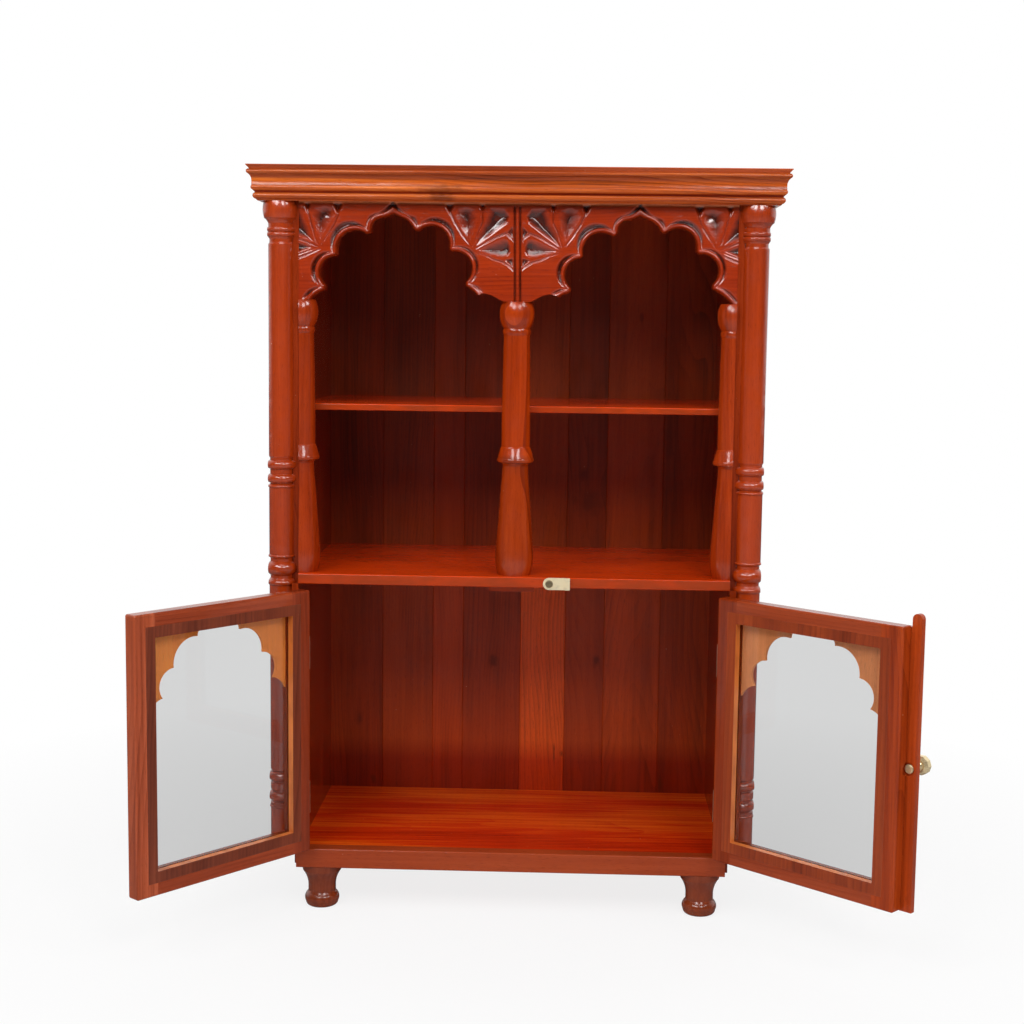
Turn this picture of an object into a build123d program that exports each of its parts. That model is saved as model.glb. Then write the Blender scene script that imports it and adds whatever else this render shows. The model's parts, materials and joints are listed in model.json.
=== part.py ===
"""Small carved cabinet: open arched display bays above a cupboard with two glazed doors.

Millimetres, +Z up. The origin is on the floor, at the middle of the width and of the depth.
The front faces -Y. Heights are measured from the floor, and front-to-back places are measured
from the front plane of the boards, which FRONT puts at -DEPTH / 2.
Both doors stand open at rest, and each is built closed and then swung about its hinge pin.
"""
from build123d import *
import math
import os

# ---------------------------------------------------------------- driving dimensions
HEIGHT = 914.0              # floor to the top of the top board
DEPTH = 292.0               # front plane to the back of the back planks
POST_FACE = 300.0           # outer faces of the front posts
WALL_IN = 262.5             # inner faces of the side panels
WALL = 8.0                  # side panel thickness
BACK = 9.0                  # back plank thickness
TOP_THICK = 5.5             # thin board that caps the cornice
CEILING_THICK = 12.0        # board that carries the cornice
CORNICE_BOTTOM = 872.3      # underside of the cornice moulding
ARCH_BOTTOM = 756.5         # underside of the arch panel
UPPER_SHELF_TOP = 630.0
UPPER_SHELF_THICK = 8.0
UPPER_SHELF_FRONT = 46.0    # its front edge lies behind the columns
WAIST_TOP = 424.5           # shelf between the display bays and the cupboard
WAIST_THICK = 12.5
FLOOR_TOP = 79.0            # cupboard floor
FLOOR_THICK = 12.0
BASE_BOTTOM = 54.5          # underside of the box, on top of the feet
BASE_FRONT_THICK = 18.0
BASE_HALF = 266.0           # half length of the base front board
TOP_LAP = 22.0              # how far the top board passes the ceiling board
BEARER_IN = 211.5           # inner faces of the foot bearers
BACK_RAIL_FRONT = 265.0
SHELF_ROUND = 1.5           # small rounds along shown edges
BASE_ROUND = 2.0
TOP_EDGE = 1.2
PLANK_JOINTS = (-190.0, -120.0, -78.0, 2.0, 64.0, 118.0, 195.0)
PLANK_VEE = 0.6
STOP_ENDS = (-30.0, 25.0)   # door stop under the waist shelf
STOP_FRONT = 18.4
STOP_DEEP = 11.6
STOP_DROP = 8.0

DOOR_EDGE = 257.2           # hinge edge of a closed door, from the centre line
DOOR_GAP = 2.2              # free edge of a closed door, from the centre line
DOOR_THICK = 18.0
DOOR_BOTTOM = 83.0
DOOR_TOP = 407.0
DOOR_FACE = -0.4            # outer face of a closed door, from the front plane
LEFT_OPEN = 130.0           # how far each door stands open, in degrees
RIGHT_OPEN = 137.0
PIN_X = 259.2               # hinge pin axis
PIN_Y = -3.2

# ---------------------------------------------------------------- values worked out from them
FRONT = -DEPTH / 2
BACK_FACE = DEPTH - BACK
WALL_OUT = WALL_IN + WALL
CEILING_TOP = HEIGHT - TOP_THICK
CEILING_BOTTOM = CEILING_TOP - CEILING_THICK
WAIST_BOTTOM = WAIST_TOP - WAIST_THICK
FLOOR_BOTTOM = FLOOR_TOP - FLOOR_THICK
DOOR_WIDTH = DOOR_EDGE - DOOR_GAP

# posts and columns
POST_AXIS_X = 284.75
POST_AXIS_Y = 15.0
POST_R = 15.3
CAPITAL_AXIS_X = 285.5
CAPITAL_R = 21.0
CAPITAL_BOTTOM = 852.0
EDGE_BESIDE_DOORS = 1.0     # front edge of a side panel beside the doors
EDGE_ABOVE = 12.0           # and above the waist shelf
COLUMN_Y = 26.0

# arch panel
ARCH_FRONT = 10.0
ARCH_BACK = 28.0
ARCH_X = 147.5              # centre line of each arch
RELIEF = 4.0                # depth of the carved hollows
GOUGE_R = 3.2               # round bottom of the hollows beside the rim beads
RIM_SLOPE = 1.2             # sloped front edge of the rim beads
CENTRE_HUB = (54, 820)      # where the petals of each fan meet
OUTER_HUB = (243, 821)
FAN_REACH = 46.0            # distance from the hub at which a petal is at its full depth

# feet
FOOT_X = 237.0
FOOT_Y = 25.5

# door members
MEMBER = 28.0               # stile and rail width
BEAD_WIDTH = 13.0
BEAD_THICK = 8.5
GLASS_THICK = 3.0
SPANDREL_THICK = 3.5
DOOR_ROUND = 2.5

# hinges
HINGE_HEIGHT = 40.0
HINGE_Z = (150.0, 330.0)
LEAF = 1.0
LEAF_DEPTH = 15.5
KNUCKLE_R = 2.6
PIN_R = 1.3
PIN_HOLE_R = 1.35
PIN_HEAD_R = 2.1
PIN_HEAD = 1.0
KNUCKLE_GAP = 0.2

# meeting strip and knob
STRIP_LAP = 12.4            # reach beyond the free edge of the right door
STRIP_ON_DOOR = 9.0
STRIP_THICK = 8.5
STRIP_BOTTOM = 82.0
STRIP_TOP = 420.0
STRIP_RELIEF = 0.4
KNOB_Z = 245.0
KNOB_R = 11.25
KNOB_LONG = 28.0
SCREW_HEAD_R = 5.5
SCREW_POCKET_R = 7.5
SCREW_POCKET_DEPTH = 2.8
KNOB_SCREW_R = 1.85
KNOB_SCREW_REACH = 11.0     # into the knob

# turn button
BUTTON_X = 43.7
BUTTON_Z = 417.3
BUTTON_HALF = 7.4
BUTTON_REACH = 25.2
BUTTON_JOG = 20.0
BUTTON_THICK = 1.2
BUTTON_BACK = -0.6
BUTTON_BORE_R = 1.55
BUTTON_SHANK_R = 1.5
BUTTON_STEP = 1.3           # height of the step at the finger end
BUTTON_BOSS_R = 3.6
BUTTON_HEAD_R = 4.5
BUTTON_HEAD = 1.6
BUTTON_SCREW_REACH = 12.0   # into the waist shelf


# ---------------------------------------------------------------- helpers
def save(shape, name):
    """Write one sub-part."""
    export_step(shape, "parts/" + name + ".step")


def block(x0, x1, y0, y1, z0, z1):
    """Box between two corners; y is measured back from the front plane."""
    box = Box(abs(x1 - x0), y1 - y0, z1 - z0)
    return Pos((x0 + x1) / 2, FRONT + (y0 + y1) / 2, (z0 + z1) / 2) * box


def face_of(start, steps):
    """Face inside a closed outline: a point is a straight run, a pair of points is an arc."""
    edges = []
    here = start
    for step in steps:
        if isinstance(step[0], tuple):
            through, end = step
            edges.append(ThreePointArc(here, through, end))
        else:
            end = step
            edges.append(Line(here, end))
        here = end
    if math.dist(here, start) > 0.001:
        edges.append(Line(here, start))
    return make_face(edges)


def upright(start, steps, y0, y1):
    """Extrude an outline of X and Z from y0 back to y1."""
    flat = Plane((0, FRONT + y0, 0), x_dir=(1, 0, 0), z_dir=(0, -1, 0)) * face_of(start, steps)
    return extrude(flat, -(y1 - y0))


def turned(outline, x, y):
    """Revolve an outline of radii and heights, from the axis to the axis, about an upright line."""
    start = (0, outline[0][1])
    steps = list(outline) + [(0, last_point(outline)[1])]
    flat = Plane.XZ * face_of(start, steps)
    return Pos(x, FRONT + y, 0) * revolve(flat, Axis.Z)


def last_point(outline):
    last = outline[-1]
    if isinstance(last[0], tuple):
        return last[1]
    return last


def cylinder(radius, x, y0, y1, z):
    """Cylinder that lies front to back."""
    lying = Rot(90, 0, 0) * Cylinder(radius, y1 - y0)
    return Pos(x, FRONT + (y0 + y1) / 2, z) * lying


def mirrored(shape):
    return mirror(shape, about=Plane.YZ)


def swing(shape, side, angle):
    """Turn a door piece about its hinge pin; side is 1 for the right door and -1 for the left."""
    pin = Pos(side * PIN_X, FRONT + PIN_Y, 0)
    back = Pos(-side * PIN_X, -FRONT - PIN_Y, 0)
    return pin * Rot(0, 0, side * angle) * back * shape


def bead(radius, low, high, crown):
    """Two steps of an outline: up to a bead's lower edge, then round its crown."""
    middle = (low + high) / 2
    return [(radius, low), ((crown, middle), (radius, high))]


# ---------------------------------------------------------------- box
def side_panel():
    """Right side panel; its front edge steps forward beside the doors and back at the base."""
    panel = block(WALL_IN, WALL_OUT, EDGE_BESIDE_DOORS, BACK_FACE, BASE_BOTTOM, CEILING_BOTTOM)
    panel -= block(WALL_IN, WALL_OUT, 0, BASE_FRONT_THICK, BASE_BOTTOM, FLOOR_TOP)
    panel -= block(WALL_IN, WALL_OUT, 0, EDGE_ABOVE, WAIST_BOTTOM, CEILING_BOTTOM)
    return panel


def back_planks():
    """Upright planks of mixed widths with a small vee at each joint, left to right."""
    edges = (-WALL_OUT, *PLANK_JOINTS, WALL_OUT)
    planks = []
    for left, right in zip(edges, edges[1:]):
        plank = block(left, right, BACK_FACE, DEPTH, BASE_BOTTOM, CEILING_BOTTOM)
        inner = plank.faces().sort_by(Axis.Y)[0]
        planks.append(chamfer(inner.edges().filter_by(Axis.Z), PLANK_VEE))
    return planks


def waist_shelf():
    shelf = block(-WALL_IN, WALL_IN, 0, BACK_FACE, WAIST_BOTTOM, WAIST_TOP)
    front = shelf.faces().sort_by(Axis.Y)[0]
    shelf = fillet(front.edges().filter_by(Axis.X), SHELF_ROUND)
    return shelf - cylinder(BUTTON_SHANK_R, BUTTON_X, 0, BUTTON_SCREW_REACH, BUTTON_Z)


def upper_shelf():
    low = UPPER_SHELF_TOP - UPPER_SHELF_THICK
    shelf = block(-WALL_IN, WALL_IN, UPPER_SHELF_FRONT, BACK_FACE, low, UPPER_SHELF_TOP)
    front = shelf.faces().sort_by(Axis.Y)[0]
    return fillet(front.edges().filter_by(Axis.X), SHELF_ROUND)


def base_front_board():
    board = block(-BASE_HALF, BASE_HALF, 0, BASE_FRONT_THICK, BASE_BOTTOM, FLOOR_TOP)
    front = board.faces().sort_by(Axis.Y)[0]
    return fillet(front.edges().filter_by(Axis.X), BASE_ROUND)


# ---------------------------------------------------------------- cornice
def cornice_section():
    """Moulding outline: projection from the ceiling board's edge, and height."""
    z = CORNICE_BOTTOM
    return face_of((0, z), [
        (8.3, z),
        ((12.6, z + 4.3), (9.9, z + 8.3)),              # bottom bead
        (10.2, z + 10.2),
        ((14.9, z + 14.3), (13.7, z + 18.2)),           # small bead under the fascia
        (13.7, z + 23.7),
        ((15.6, z + 28.6), (19.6, z + 32.6)),           # cove that looks down
        ((20.6, z + 34.4), (19, z + 36.2)),             # nose under the top board
        (0, z + 36.2),
    ])


def cornice():
    """Front, left and right mouldings, mitred at the front corners."""
    spare = 30                      # past the mitres, before they are cut
    reach = POST_FACE + spare
    section = Plane((0, FRONT, 0), x_dir=(0, -1, 0), z_dir=(-1, 0, 0)) * cornice_section()
    front = Pos(reach, 0, 0) * extrude(section, 2 * reach)
    section = Plane((POST_FACE, 0, 0), x_dir=(1, 0, 0), z_dir=(0, -1, 0)) * cornice_section()
    right = Pos(0, DEPTH / 2, 0) * extrude(section, DEPTH + spare)
    corner = (POST_FACE, FRONT)
    outside = (reach, FRONT - spare)
    right &= mitre_zone([corner, outside, (reach, FRONT + DEPTH), (POST_FACE, FRONT + DEPTH)])
    front &= mitre_zone([(-POST_FACE, FRONT), (-reach, FRONT - spare), outside, corner])
    return front, mirrored(right), right


def mitre_zone(corners):
    """Upright block over a plan outline, higher than the cornice."""
    zone = make_face(Polyline(*corners, close=True))
    return extrude(Pos(0, 0, CORNICE_BOTTOM - 1) * zone, HEIGHT - CORNICE_BOTTOM)


def top_board():
    """Thin board over the cornice with a small round along its three shown edges."""
    half = POST_FACE + TOP_LAP
    board = block(-half, half, -TOP_LAP, DEPTH, CEILING_TOP, HEIGHT)
    low = board.faces().sort_by(Axis.Z)[0]
    shown = low.edges().sort_by(Axis.Y)[:-1]
    return chamfer(shown, TOP_EDGE)


# ---------------------------------------------------------------- turned work
def post():
    """Right corner post: turned rings, sawn flat outside and notched over the side panel."""
    low = 13.9                      # radius in the grooves beside the beads
    neck_low = 846.0
    clear = 30.0                    # reach of the cutting blocks
    outline = [
        (POST_R, FLOOR_TOP),
        *bead(POST_R, 129.5, 132.5, 17.0),
        (POST_R, 135.5), (low, 137),
        *bead(low, 138, 150, 18.6),
        (low, 151), (POST_R, 152.5),
        (POST_R, 160.5), (low, 162),
        *bead(low, 163, 175, 18.6),
        (low, 176), (POST_R, 177.5),
        *bead(POST_R, 408.5, 415.5, 17.6),
        (low, 417.5), (low, 420.5),
        *bead(POST_R, 422, 436.5, 19.2),
        (low, 438), (low, 441.5),
        *bead(POST_R, 443.2, 446.4, 17.0),
        *bead(POST_R, 529, 532.2, 17.0),
        (low, 533.5),
        *bead(low, 534.5, 545.2, 18.6),
        (low, 546.5), (low, 550),
        *bead(low, 551.5, 562, 18.6),
        (low, 564.5), (POST_R, 567),
        (POST_R, 821.5), (low, 824), (low, 828),
        *bead(POST_R, 830.4, 836.1, 17.4),
        *bead(POST_R, 836.3, 842, 17.4),
        (POST_R, neck_low),
    ]
    shaft = turned(outline, POST_AXIS_X, POST_AXIS_Y)
    shaft -= block(POST_FACE, POST_FACE + clear, -clear, clear * 2, 0, neck_low)
    neck = [
        (POST_R - 1, neck_low),
        ((POST_R + 1.2, 850.2), (CAPITAL_R - 1.6, CAPITAL_BOTTOM + 0.8)),
        ((CAPITAL_R, 862), (CAPITAL_R - 1.4, CORNICE_BOTTOM)),
    ]
    capital = turned(neck, CAPITAL_AXIS_X, POST_AXIS_Y)
    top_block = block(WALL_OUT, POST_FACE, 0, 2 * POST_AXIS_Y, CORNICE_BOTTOM, CEILING_BOTTOM)
    whole = shaft + capital + top_block
    inside = WALL_IN - clear
    whole -= block(inside, WALL_OUT, EDGE_BESIDE_DOORS, 2 * clear, 0, WAIST_BOTTOM)
    whole -= block(inside, WALL_OUT, EDGE_ABOVE, 2 * clear, WAIST_BOTTOM, CEILING_BOTTOM)
    whole -= block(inside, POST_FACE + clear, -clear, 0, CORNICE_BOTTOM, CEILING_BOTTOM)
    return whole


def column_outline():
    """Vase-footed column with a collar and a bulb at the top."""
    return [
        (20.4, WAIST_TOP),
        ((22.0, 431), (23.2, 453)),
        ((19.6, 505), (16.2, 548)),
        (16, 559), (17.6, 561.5),
        (22, 563), ((22.9, 565.5), (22, 568)),
        (18.6, 580),
        (17.5, 582), (17.6, 614),
        (16.2, 716),
        ((17.4, 720.5), (16.4, 724.4)),
        ((21.4, 742), (18.2, ARCH_BOTTOM)),
    ]


def centre_column():
    return turned(column_outline(), 0, COLUMN_Y)


def colonnette():
    """Half of the same turning, its flat side on the right side panel."""
    whole = turned(column_outline(), WALL_IN, COLUMN_Y)
    return whole - block(WALL_IN, WALL_IN + 40, COLUMN_Y - 40, COLUMN_Y + 40, WAIST_BOTTOM, HEIGHT)


def foot(x, y):
    """Turned foot: wide top, waist and ball."""
    return turned([
        (14.8, 0),
        ((18.76, 1.64), (20.4, 5.6)),
        ((21.4, 11.5), (18.4, 16.8)),
        (17.2, 19),
        (17.2, 27),
        ((19.6, 38), (24.2, 46)),
        ((24.7, 50), (24.6, BASE_BOTTOM)),
    ], x, y)


# ---------------------------------------------------------------- carved arch panel
TIP = (0, 866.5)
CUSP_1 = (30, 842)
CUSP_2 = (70.5, 815)
CUSP_3 = (88, 773)
LOBE_1 = (18.5, 856.6)
LOBE_2 = (62.5, 841.5)
LOBE_3 = (97.5, 797.5)


def about_arch(point, centre, side):
    """Place a point of one arch half; side is 1 for its right half and -1 for its left."""
    return (centre + side * point[0], point[1])


def arch_cut(centre, inner_side):
    """Through-cut of one cusped arch, open at the bottom."""
    right = inner_side < 0
    end_outer = (109.5, ARCH_BOTTOM)
    end_inner = (102.5, 764)
    ends = {inner_side: end_inner, -inner_side: end_outer}
    lobe_4 = {inner_side: (96.5, 769.8), -inner_side: (100.5, 766.6)}

    def at(point, side):
        return about_arch(point, centre, side)

    start = at(ends[-1], -1)
    steps = [
        (at(lobe_4[-1], -1), at(CUSP_3, -1)),
        (at(LOBE_3, -1), at(CUSP_2, -1)),
        (at(LOBE_2, -1), at(CUSP_1, -1)),
        (at(LOBE_1, -1), at(TIP, -1)),
        (at(LOBE_1, 1), at(CUSP_1, 1)),
        (at(LOBE_2, 1), at(CUSP_2, 1)),
        (at(LOBE_3, 1), at(CUSP_3, 1)),
        (at(lobe_4[1], 1), at(ends[1], 1)),
    ]
    below = ARCH_BOTTOM - 10
    if right:
        steps += [at((end_outer[0], below), 1), at((102.5, below), -1)]
    else:
        steps += [at((102.5, below), 1), at((end_outer[0], below), -1)]
    return upright(start, steps, ARCH_FRONT - 1, ARCH_BACK + 1)


def crescent(start, inner, end, outer, centre, side):
    """Gouged hollow that follows one lobe outside its rim bead, with a round bottom."""
    def at(point):
        return about_arch(point, centre, side)
    outline = upright(at(start), [(at(inner), at(end)), (at(outer), at(start))], ARCH_FRONT - 1,
                      ARCH_FRONT + RELIEF)
    middle = ((inner[0] + outer[0]) / 2, (inner[1] + outer[1]) / 2)
    path = ThreePointArc(at(start), at(middle), at(end))
    hub = path.arc_center
    gouge = Pos(hub.X, FRONT + ARCH_FRONT, hub.Y) * Rot(90, 0, 0) * Torus(path.radius, GOUGE_R)
    return outline & gouge


def rim_hollows(centre):
    """Hollows behind the rim beads of one arch, lobe by lobe on both sides."""
    hollows = []
    for side in (-1, 1):
        hollows.append(crescent((3, 870), (20.5, 859.1), (31.6, 847), (23.3, 862.6), centre, side))
        hollows.append(crescent((35, 846), (64.6, 844), (74.2, 818), (67.4, 847.6), centre, side))
        hollows.append(crescent((75, 817.8), (100.9, 798), (91.8, 774.6), (105.1, 798.8), centre, side))
    return hollows


def fan(hub, petals):
    """Petals that fall away from the fan's hub, where they run out to nothing."""
    rise = Rot(-90, 0, 0) * Cone(0, FAN_REACH, RELIEF)
    rise = Pos(hub[0], FRONT + ARCH_FRONT + RELIEF / 2, hub[1]) * rise
    return [petal - rise for petal in petals]


def petal(start, steps):
    """Hollow with an upright wall and a level floor."""
    return upright(start, steps, ARCH_FRONT - 1, ARCH_FRONT + RELIEF)


def centre_fan():
    """Hollows of the right half of the middle motif."""
    return fan(CENTRE_HUB, [
        petal((58, 825), [((49, 846), (46, 862)), ((61, 870.5), (76, 862)), ((68, 846), (58, 825))]),
        petal((52, 824), [(39, 862), (33, 868.5), (13, 868.5), (8, 857)]),
        petal((49, 816), [((32, 832.5), (17, 834)), ((7.5, 821), (15, 808)), ((33, 809), (49, 816))]),
        petal((45, 808.5), [(14, 804), (7, 807), (6, 791), (16, 800.5)]),
    ])


def outer_fan():
    """Hollows of the small fan beside the right post."""
    return fan(OUTER_HUB, [
        petal((238.5, 826), [((246, 846), (248.5, 862)), ((234, 870.5), (220, 862)),
                             ((229, 846), (238.5, 826))]),
        petal((244, 831), [(253, 862), (261, 862), (261, 844)]),
        petal((247, 823), [(261, 836), (261, 828)]),
        petal((248, 815.5), [(261, 820), (261, 811)]),
    ])


def arch_panel():
    """Board with two cusped arches, rim beads, a middle rib and fans of hollowed petals."""
    panel = block(-WALL_IN, WALL_IN, ARCH_FRONT, ARCH_BACK, ARCH_BOTTOM, CEILING_BOTTOM)
    panel -= arch_cut(-ARCH_X, 1)
    panel -= arch_cut(ARCH_X, -1)
    pendant_low = ARCH_BOTTOM - 1
    pendant = [(46, 764), (38, 764.8), ((28, 761.5), (18, ARCH_BOTTOM)), (18, pendant_low)]
    under = upright((46, pendant_low), pendant, ARCH_FRONT - 1, ARCH_BACK + 1)
    panel -= under
    panel -= mirrored(under)
    front = panel.faces().sort_by(Axis.Y)[0]
    panel = chamfer(front.edges().filter_by(GeomType.CIRCLE), RIM_SLOPE)
    for centre in (-ARCH_X, ARCH_X):
        for hollow in rim_hollows(centre):
            panel -= hollow
    for hollow in centre_fan() + outer_fan():
        panel -= hollow
        panel -= mirrored(hollow)
    return panel


# ---------------------------------------------------------------- doors, built closed
def door_block(u0, u1, t0, t1, z0, z1):
    """Box in the right door: u runs from the hinge edge, t back from the outer face."""
    return block(DOOR_EDGE - u1, DOOR_EDGE - u0, DOOR_FACE + t0, DOOR_FACE + t1, z0, z1)


def door_frame():
    """Rounded slab with the sight opening, and the rebate for glass and beads behind it."""
    slab = door_block(0, DOOR_WIDTH, 0, DOOR_THICK, DOOR_BOTTOM, DOOR_TOP)
    slab = fillet(slab.edges(), DOOR_ROUND)
    slab -= door_block(MEMBER, DOOR_WIDTH - MEMBER, -1, DOOR_THICK + 1,
                       DOOR_BOTTOM + MEMBER, DOOR_TOP - MEMBER)
    edge = MEMBER - BEAD_WIDTH
    rebate = DOOR_THICK - BEAD_THICK - GLASS_THICK
    slab -= door_block(edge, DOOR_WIDTH - edge, rebate, DOOR_THICK + 1,
                       DOOR_BOTTOM + edge, DOOR_TOP - edge)
    return slab


def door_part(u0, u1, z0, z1):
    """The stretch of the door's slab between two distances and two heights."""
    return door_block(u0, u1, 0, DOOR_THICK, z0, z1)


def door_members():
    """Stiles run the full height, and the rails lie between them."""
    frame = door_frame()
    near = MEMBER
    far = DOOR_WIDTH - MEMBER
    middle = (DOOR_BOTTOM + DOOR_TOP) / 2
    hinge_stile = frame & door_part(0, near, DOOR_BOTTOM, DOOR_TOP)
    lock_stile = frame & door_part(far, DOOR_WIDTH, DOOR_BOTTOM, DOOR_TOP)
    top_rail = frame & door_part(near, far, middle, DOOR_TOP)
    bottom_rail = frame & door_part(near, far, DOOR_BOTTOM, middle)
    return {"hinge_stile": hinge_stile, "lock_stile": lock_stile,
            "top_rail": top_rail, "bottom_rail": bottom_rail}


def glass_pane():
    edge = MEMBER - BEAD_WIDTH + 0.5
    front = DOOR_THICK - BEAD_THICK - GLASS_THICK
    return door_block(edge, DOOR_WIDTH - edge, front, front + GLASS_THICK,
                      DOOR_BOTTOM + edge, DOOR_TOP - edge)


def glazing_beads():
    """Four beads that hold the glass: the upright ones run past the level ones."""
    edge = MEMBER - BEAD_WIDTH
    front = DOOR_THICK - BEAD_THICK
    low = DOOR_BOTTOM + edge
    high = DOOR_TOP - edge
    far = DOOR_WIDTH - edge
    return Compound(children=[
        door_block(edge, MEMBER, front, DOOR_THICK, low, high),
        door_block(far - BEAD_WIDTH, far, front, DOOR_THICK, low, high),
        door_block(MEMBER, far - BEAD_WIDTH, front, DOOR_THICK, high - BEAD_WIDTH, high),
        door_block(MEMBER, far - BEAD_WIDTH, front, DOOR_THICK, low, low + BEAD_WIDTH),
    ])


def spandrel(side):
    """Thin cusped corner piece in the head of the sight opening, before the glass."""
    middle = DOOR_EDGE - DOOR_WIDTH / 2
    half = DOOR_WIDTH / 2 - MEMBER
    head = DOOR_TOP - MEMBER

    def at(x, z):
        return (middle + side * x, z)

    start = at(half, head)
    steps = [
        at(25, head),
        (at(29.6, 375.5), at(31, 370)),
        (at(56, 362.5), at(65, 338)),
        (at(83.5, 325), at(80.5, 305)),
        (at(91, 300.6), at(half, 290)),
    ]
    return upright(start, steps, DOOR_FACE, DOOR_FACE + SPANDREL_THICK)


def arch_spandrels():
    return Compound(children=[spandrel(-1), spandrel(1)])


def knuckle(low, high):
    ring = Cylinder(KNUCKLE_R, high - low) - Cylinder(PIN_HOLE_R, high - low)
    return Pos(PIN_X, FRONT + PIN_Y, (low + high) / 2) * ring


def pin_hole(low, high):
    hole = Cylinder(PIN_HOLE_R, high - low)
    return Pos(PIN_X, FRONT + PIN_Y, (low + high) / 2) * hole


def door_hinge_leaves():
    """Leaves on the right door's hinge edge, each with the middle knuckle."""
    leaves = []
    for middle in HINGE_Z:
        low = middle - HINGE_HEIGHT / 2
        plate = block(DOOR_EDGE, DOOR_EDGE + LEAF, DOOR_FACE + 1.2, LEAF_DEPTH, low, low + HINGE_HEIGHT)
        third = HINGE_HEIGHT / 3
        neck_low = low + third + KNUCKLE_GAP
        neck_high = low + 2 * third - KNUCKLE_GAP
        neck = block(DOOR_EDGE, DOOR_EDGE + LEAF, PIN_Y, LEAF_DEPTH, neck_low, neck_high)
        leaf = plate + neck + knuckle(neck_low, neck_high)
        leaves.append(leaf - pin_hole(low, low + HINGE_HEIGHT))
    return Compound(children=leaves)


def frame_hinge_leaves():
    """Leaves on the right side panel, each with the two outer knuckles."""
    leaves = []
    for middle in HINGE_Z:
        low = middle - HINGE_HEIGHT / 2
        high = low + HINGE_HEIGHT
        leaf = block(WALL_IN - LEAF, WALL_IN, EDGE_BESIDE_DOORS, LEAF_DEPTH, low, high)
        third = HINGE_HEIGHT / 3
        for z0, z1 in ((low, low + third), (high - third, high)):
            neck = face_of((WALL_IN - LEAF, EDGE_BESIDE_DOORS), [
                (WALL_IN, EDGE_BESIDE_DOORS), (WALL_IN, PIN_Y + 0.6), (PIN_X + 2, PIN_Y - 1.2),
                (PIN_X + 2, PIN_Y + 0.6), (WALL_IN - LEAF, PIN_Y + 1.6)])
            leaf += extrude(Pos(0, FRONT, z0) * neck, z1 - z0)
            leaf += knuckle(z0, z1)
        leaves.append(leaf - pin_hole(low, high))
    return Compound(children=leaves)


def hinge_pins():
    """Loose pins, each with a head that rests on the top knuckle."""
    pins = []
    for middle in HINGE_Z:
        low = middle - HINGE_HEIGHT / 2
        pin = Cylinder(PIN_R, HINGE_HEIGHT + PIN_HEAD)
        pin = Pos(PIN_X, FRONT + PIN_Y, middle - PIN_HEAD / 2) * pin
        head = Pos(PIN_X, FRONT + PIN_Y, low + HINGE_HEIGHT + PIN_HEAD / 2) * Cylinder(PIN_HEAD_R, PIN_HEAD)
        pins.append(pin + head)
    return Compound(children=pins)


# ---------------------------------------------------------------- meeting strip and knob
def knob_x():
    """The knob's axis lies close to the cabinet's centre line when the door is closed."""
    return DOOR_GAP - 2


def meeting_strip():
    """Strip on the right door's outer face that laps the left door and the waist shelf."""
    inner = DOOR_GAP + STRIP_ON_DOOR
    outer = DOOR_GAP - STRIP_LAP
    shoulder = DOOR_TOP - 2
    crown = (DOOR_GAP + outer) / 2
    rise = STRIP_TOP - STRIP_LAP / 2
    outline = [
        (inner, STRIP_BOTTOM),
        (inner, shoulder),
        (DOOR_GAP, shoulder),
        (DOOR_GAP, rise),
        ((crown, STRIP_TOP), (outer, rise)),
    ]
    strip = upright((outer, STRIP_BOTTOM), outline, DOOR_FACE - STRIP_THICK, DOOR_FACE)
    front = strip.faces().sort_by(Axis.Y)[0]
    strip = chamfer(front.edges(), 1.5)
    strip -= block(outer, DOOR_GAP, DOOR_FACE - STRIP_RELIEF, DOOR_FACE, STRIP_BOTTOM, STRIP_TOP)
    strip -= cylinder(SCREW_POCKET_R, knob_x(), DOOR_FACE - SCREW_POCKET_DEPTH, DOOR_FACE, KNOB_Z)
    return strip - cylinder(2.0, knob_x(), DOOR_FACE - STRIP_THICK, DOOR_FACE, KNOB_Z)


def screw_scoop():
    """Round hollow in the right door's free edge that gives room for the knob's screw head."""
    return Pos(knob_x(), FRONT + DOOR_FACE + 1, KNOB_Z) * Sphere(SCREW_POCKET_R + 0.4)


def knob():
    """Brass knob: base plate, waist, ten-sided head and a low dome."""
    neck_high = 12.0
    head_high = 25.0
    sides = 10
    facet = 3.2
    dome_edge = 6.5
    bore = 1.9
    neck = face_of((0, 0), [
        (6.6, 0), (6.6, 1.6), (4.4, 2.6),
        ((3.9, 7), (5.6, neck_high)),
        (0, neck_high),
    ])
    body = revolve(Plane.XZ * neck, Axis.Z)
    head = extrude(RegularPolygon(KNOB_R, sides), head_high - neck_high)
    head = chamfer(head.edges().group_by(Axis.Z)[0] + head.edges().group_by(Axis.Z)[-1], facet)
    rise = KNOB_LONG - head_high
    dome_r = (dome_edge ** 2 + rise ** 2) / (2 * rise)
    dome = Pos(0, 0, KNOB_LONG - dome_r) * Sphere(dome_r)
    dome -= Pos(0, 0, head_high - dome_r) * Box(2 * dome_r, 2 * dome_r, 2 * dome_r)
    body += Pos(0, 0, neck_high) * head
    body += dome
    body -= Pos(0, 0, neck_high / 2) * Cylinder(bore, neck_high)
    return Pos(knob_x(), FRONT + DOOR_FACE - STRIP_THICK, KNOB_Z) * Rot(90, 0, 0) * body


def knob_screw():
    """Round-headed screw through the meeting strip into the knob."""
    seat = DOOR_FACE - SCREW_POCKET_DEPTH
    tip = DOOR_FACE - STRIP_THICK - KNOB_SCREW_REACH
    head = cylinder(SCREW_HEAD_R, knob_x(), seat, seat + 2.2, KNOB_Z)
    head = fillet(head.faces().sort_by(Axis.Y)[-1].edges(), 1.4)
    return head + cylinder(KNOB_SCREW_R, knob_x(), tip, seat, KNOB_Z)


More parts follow.
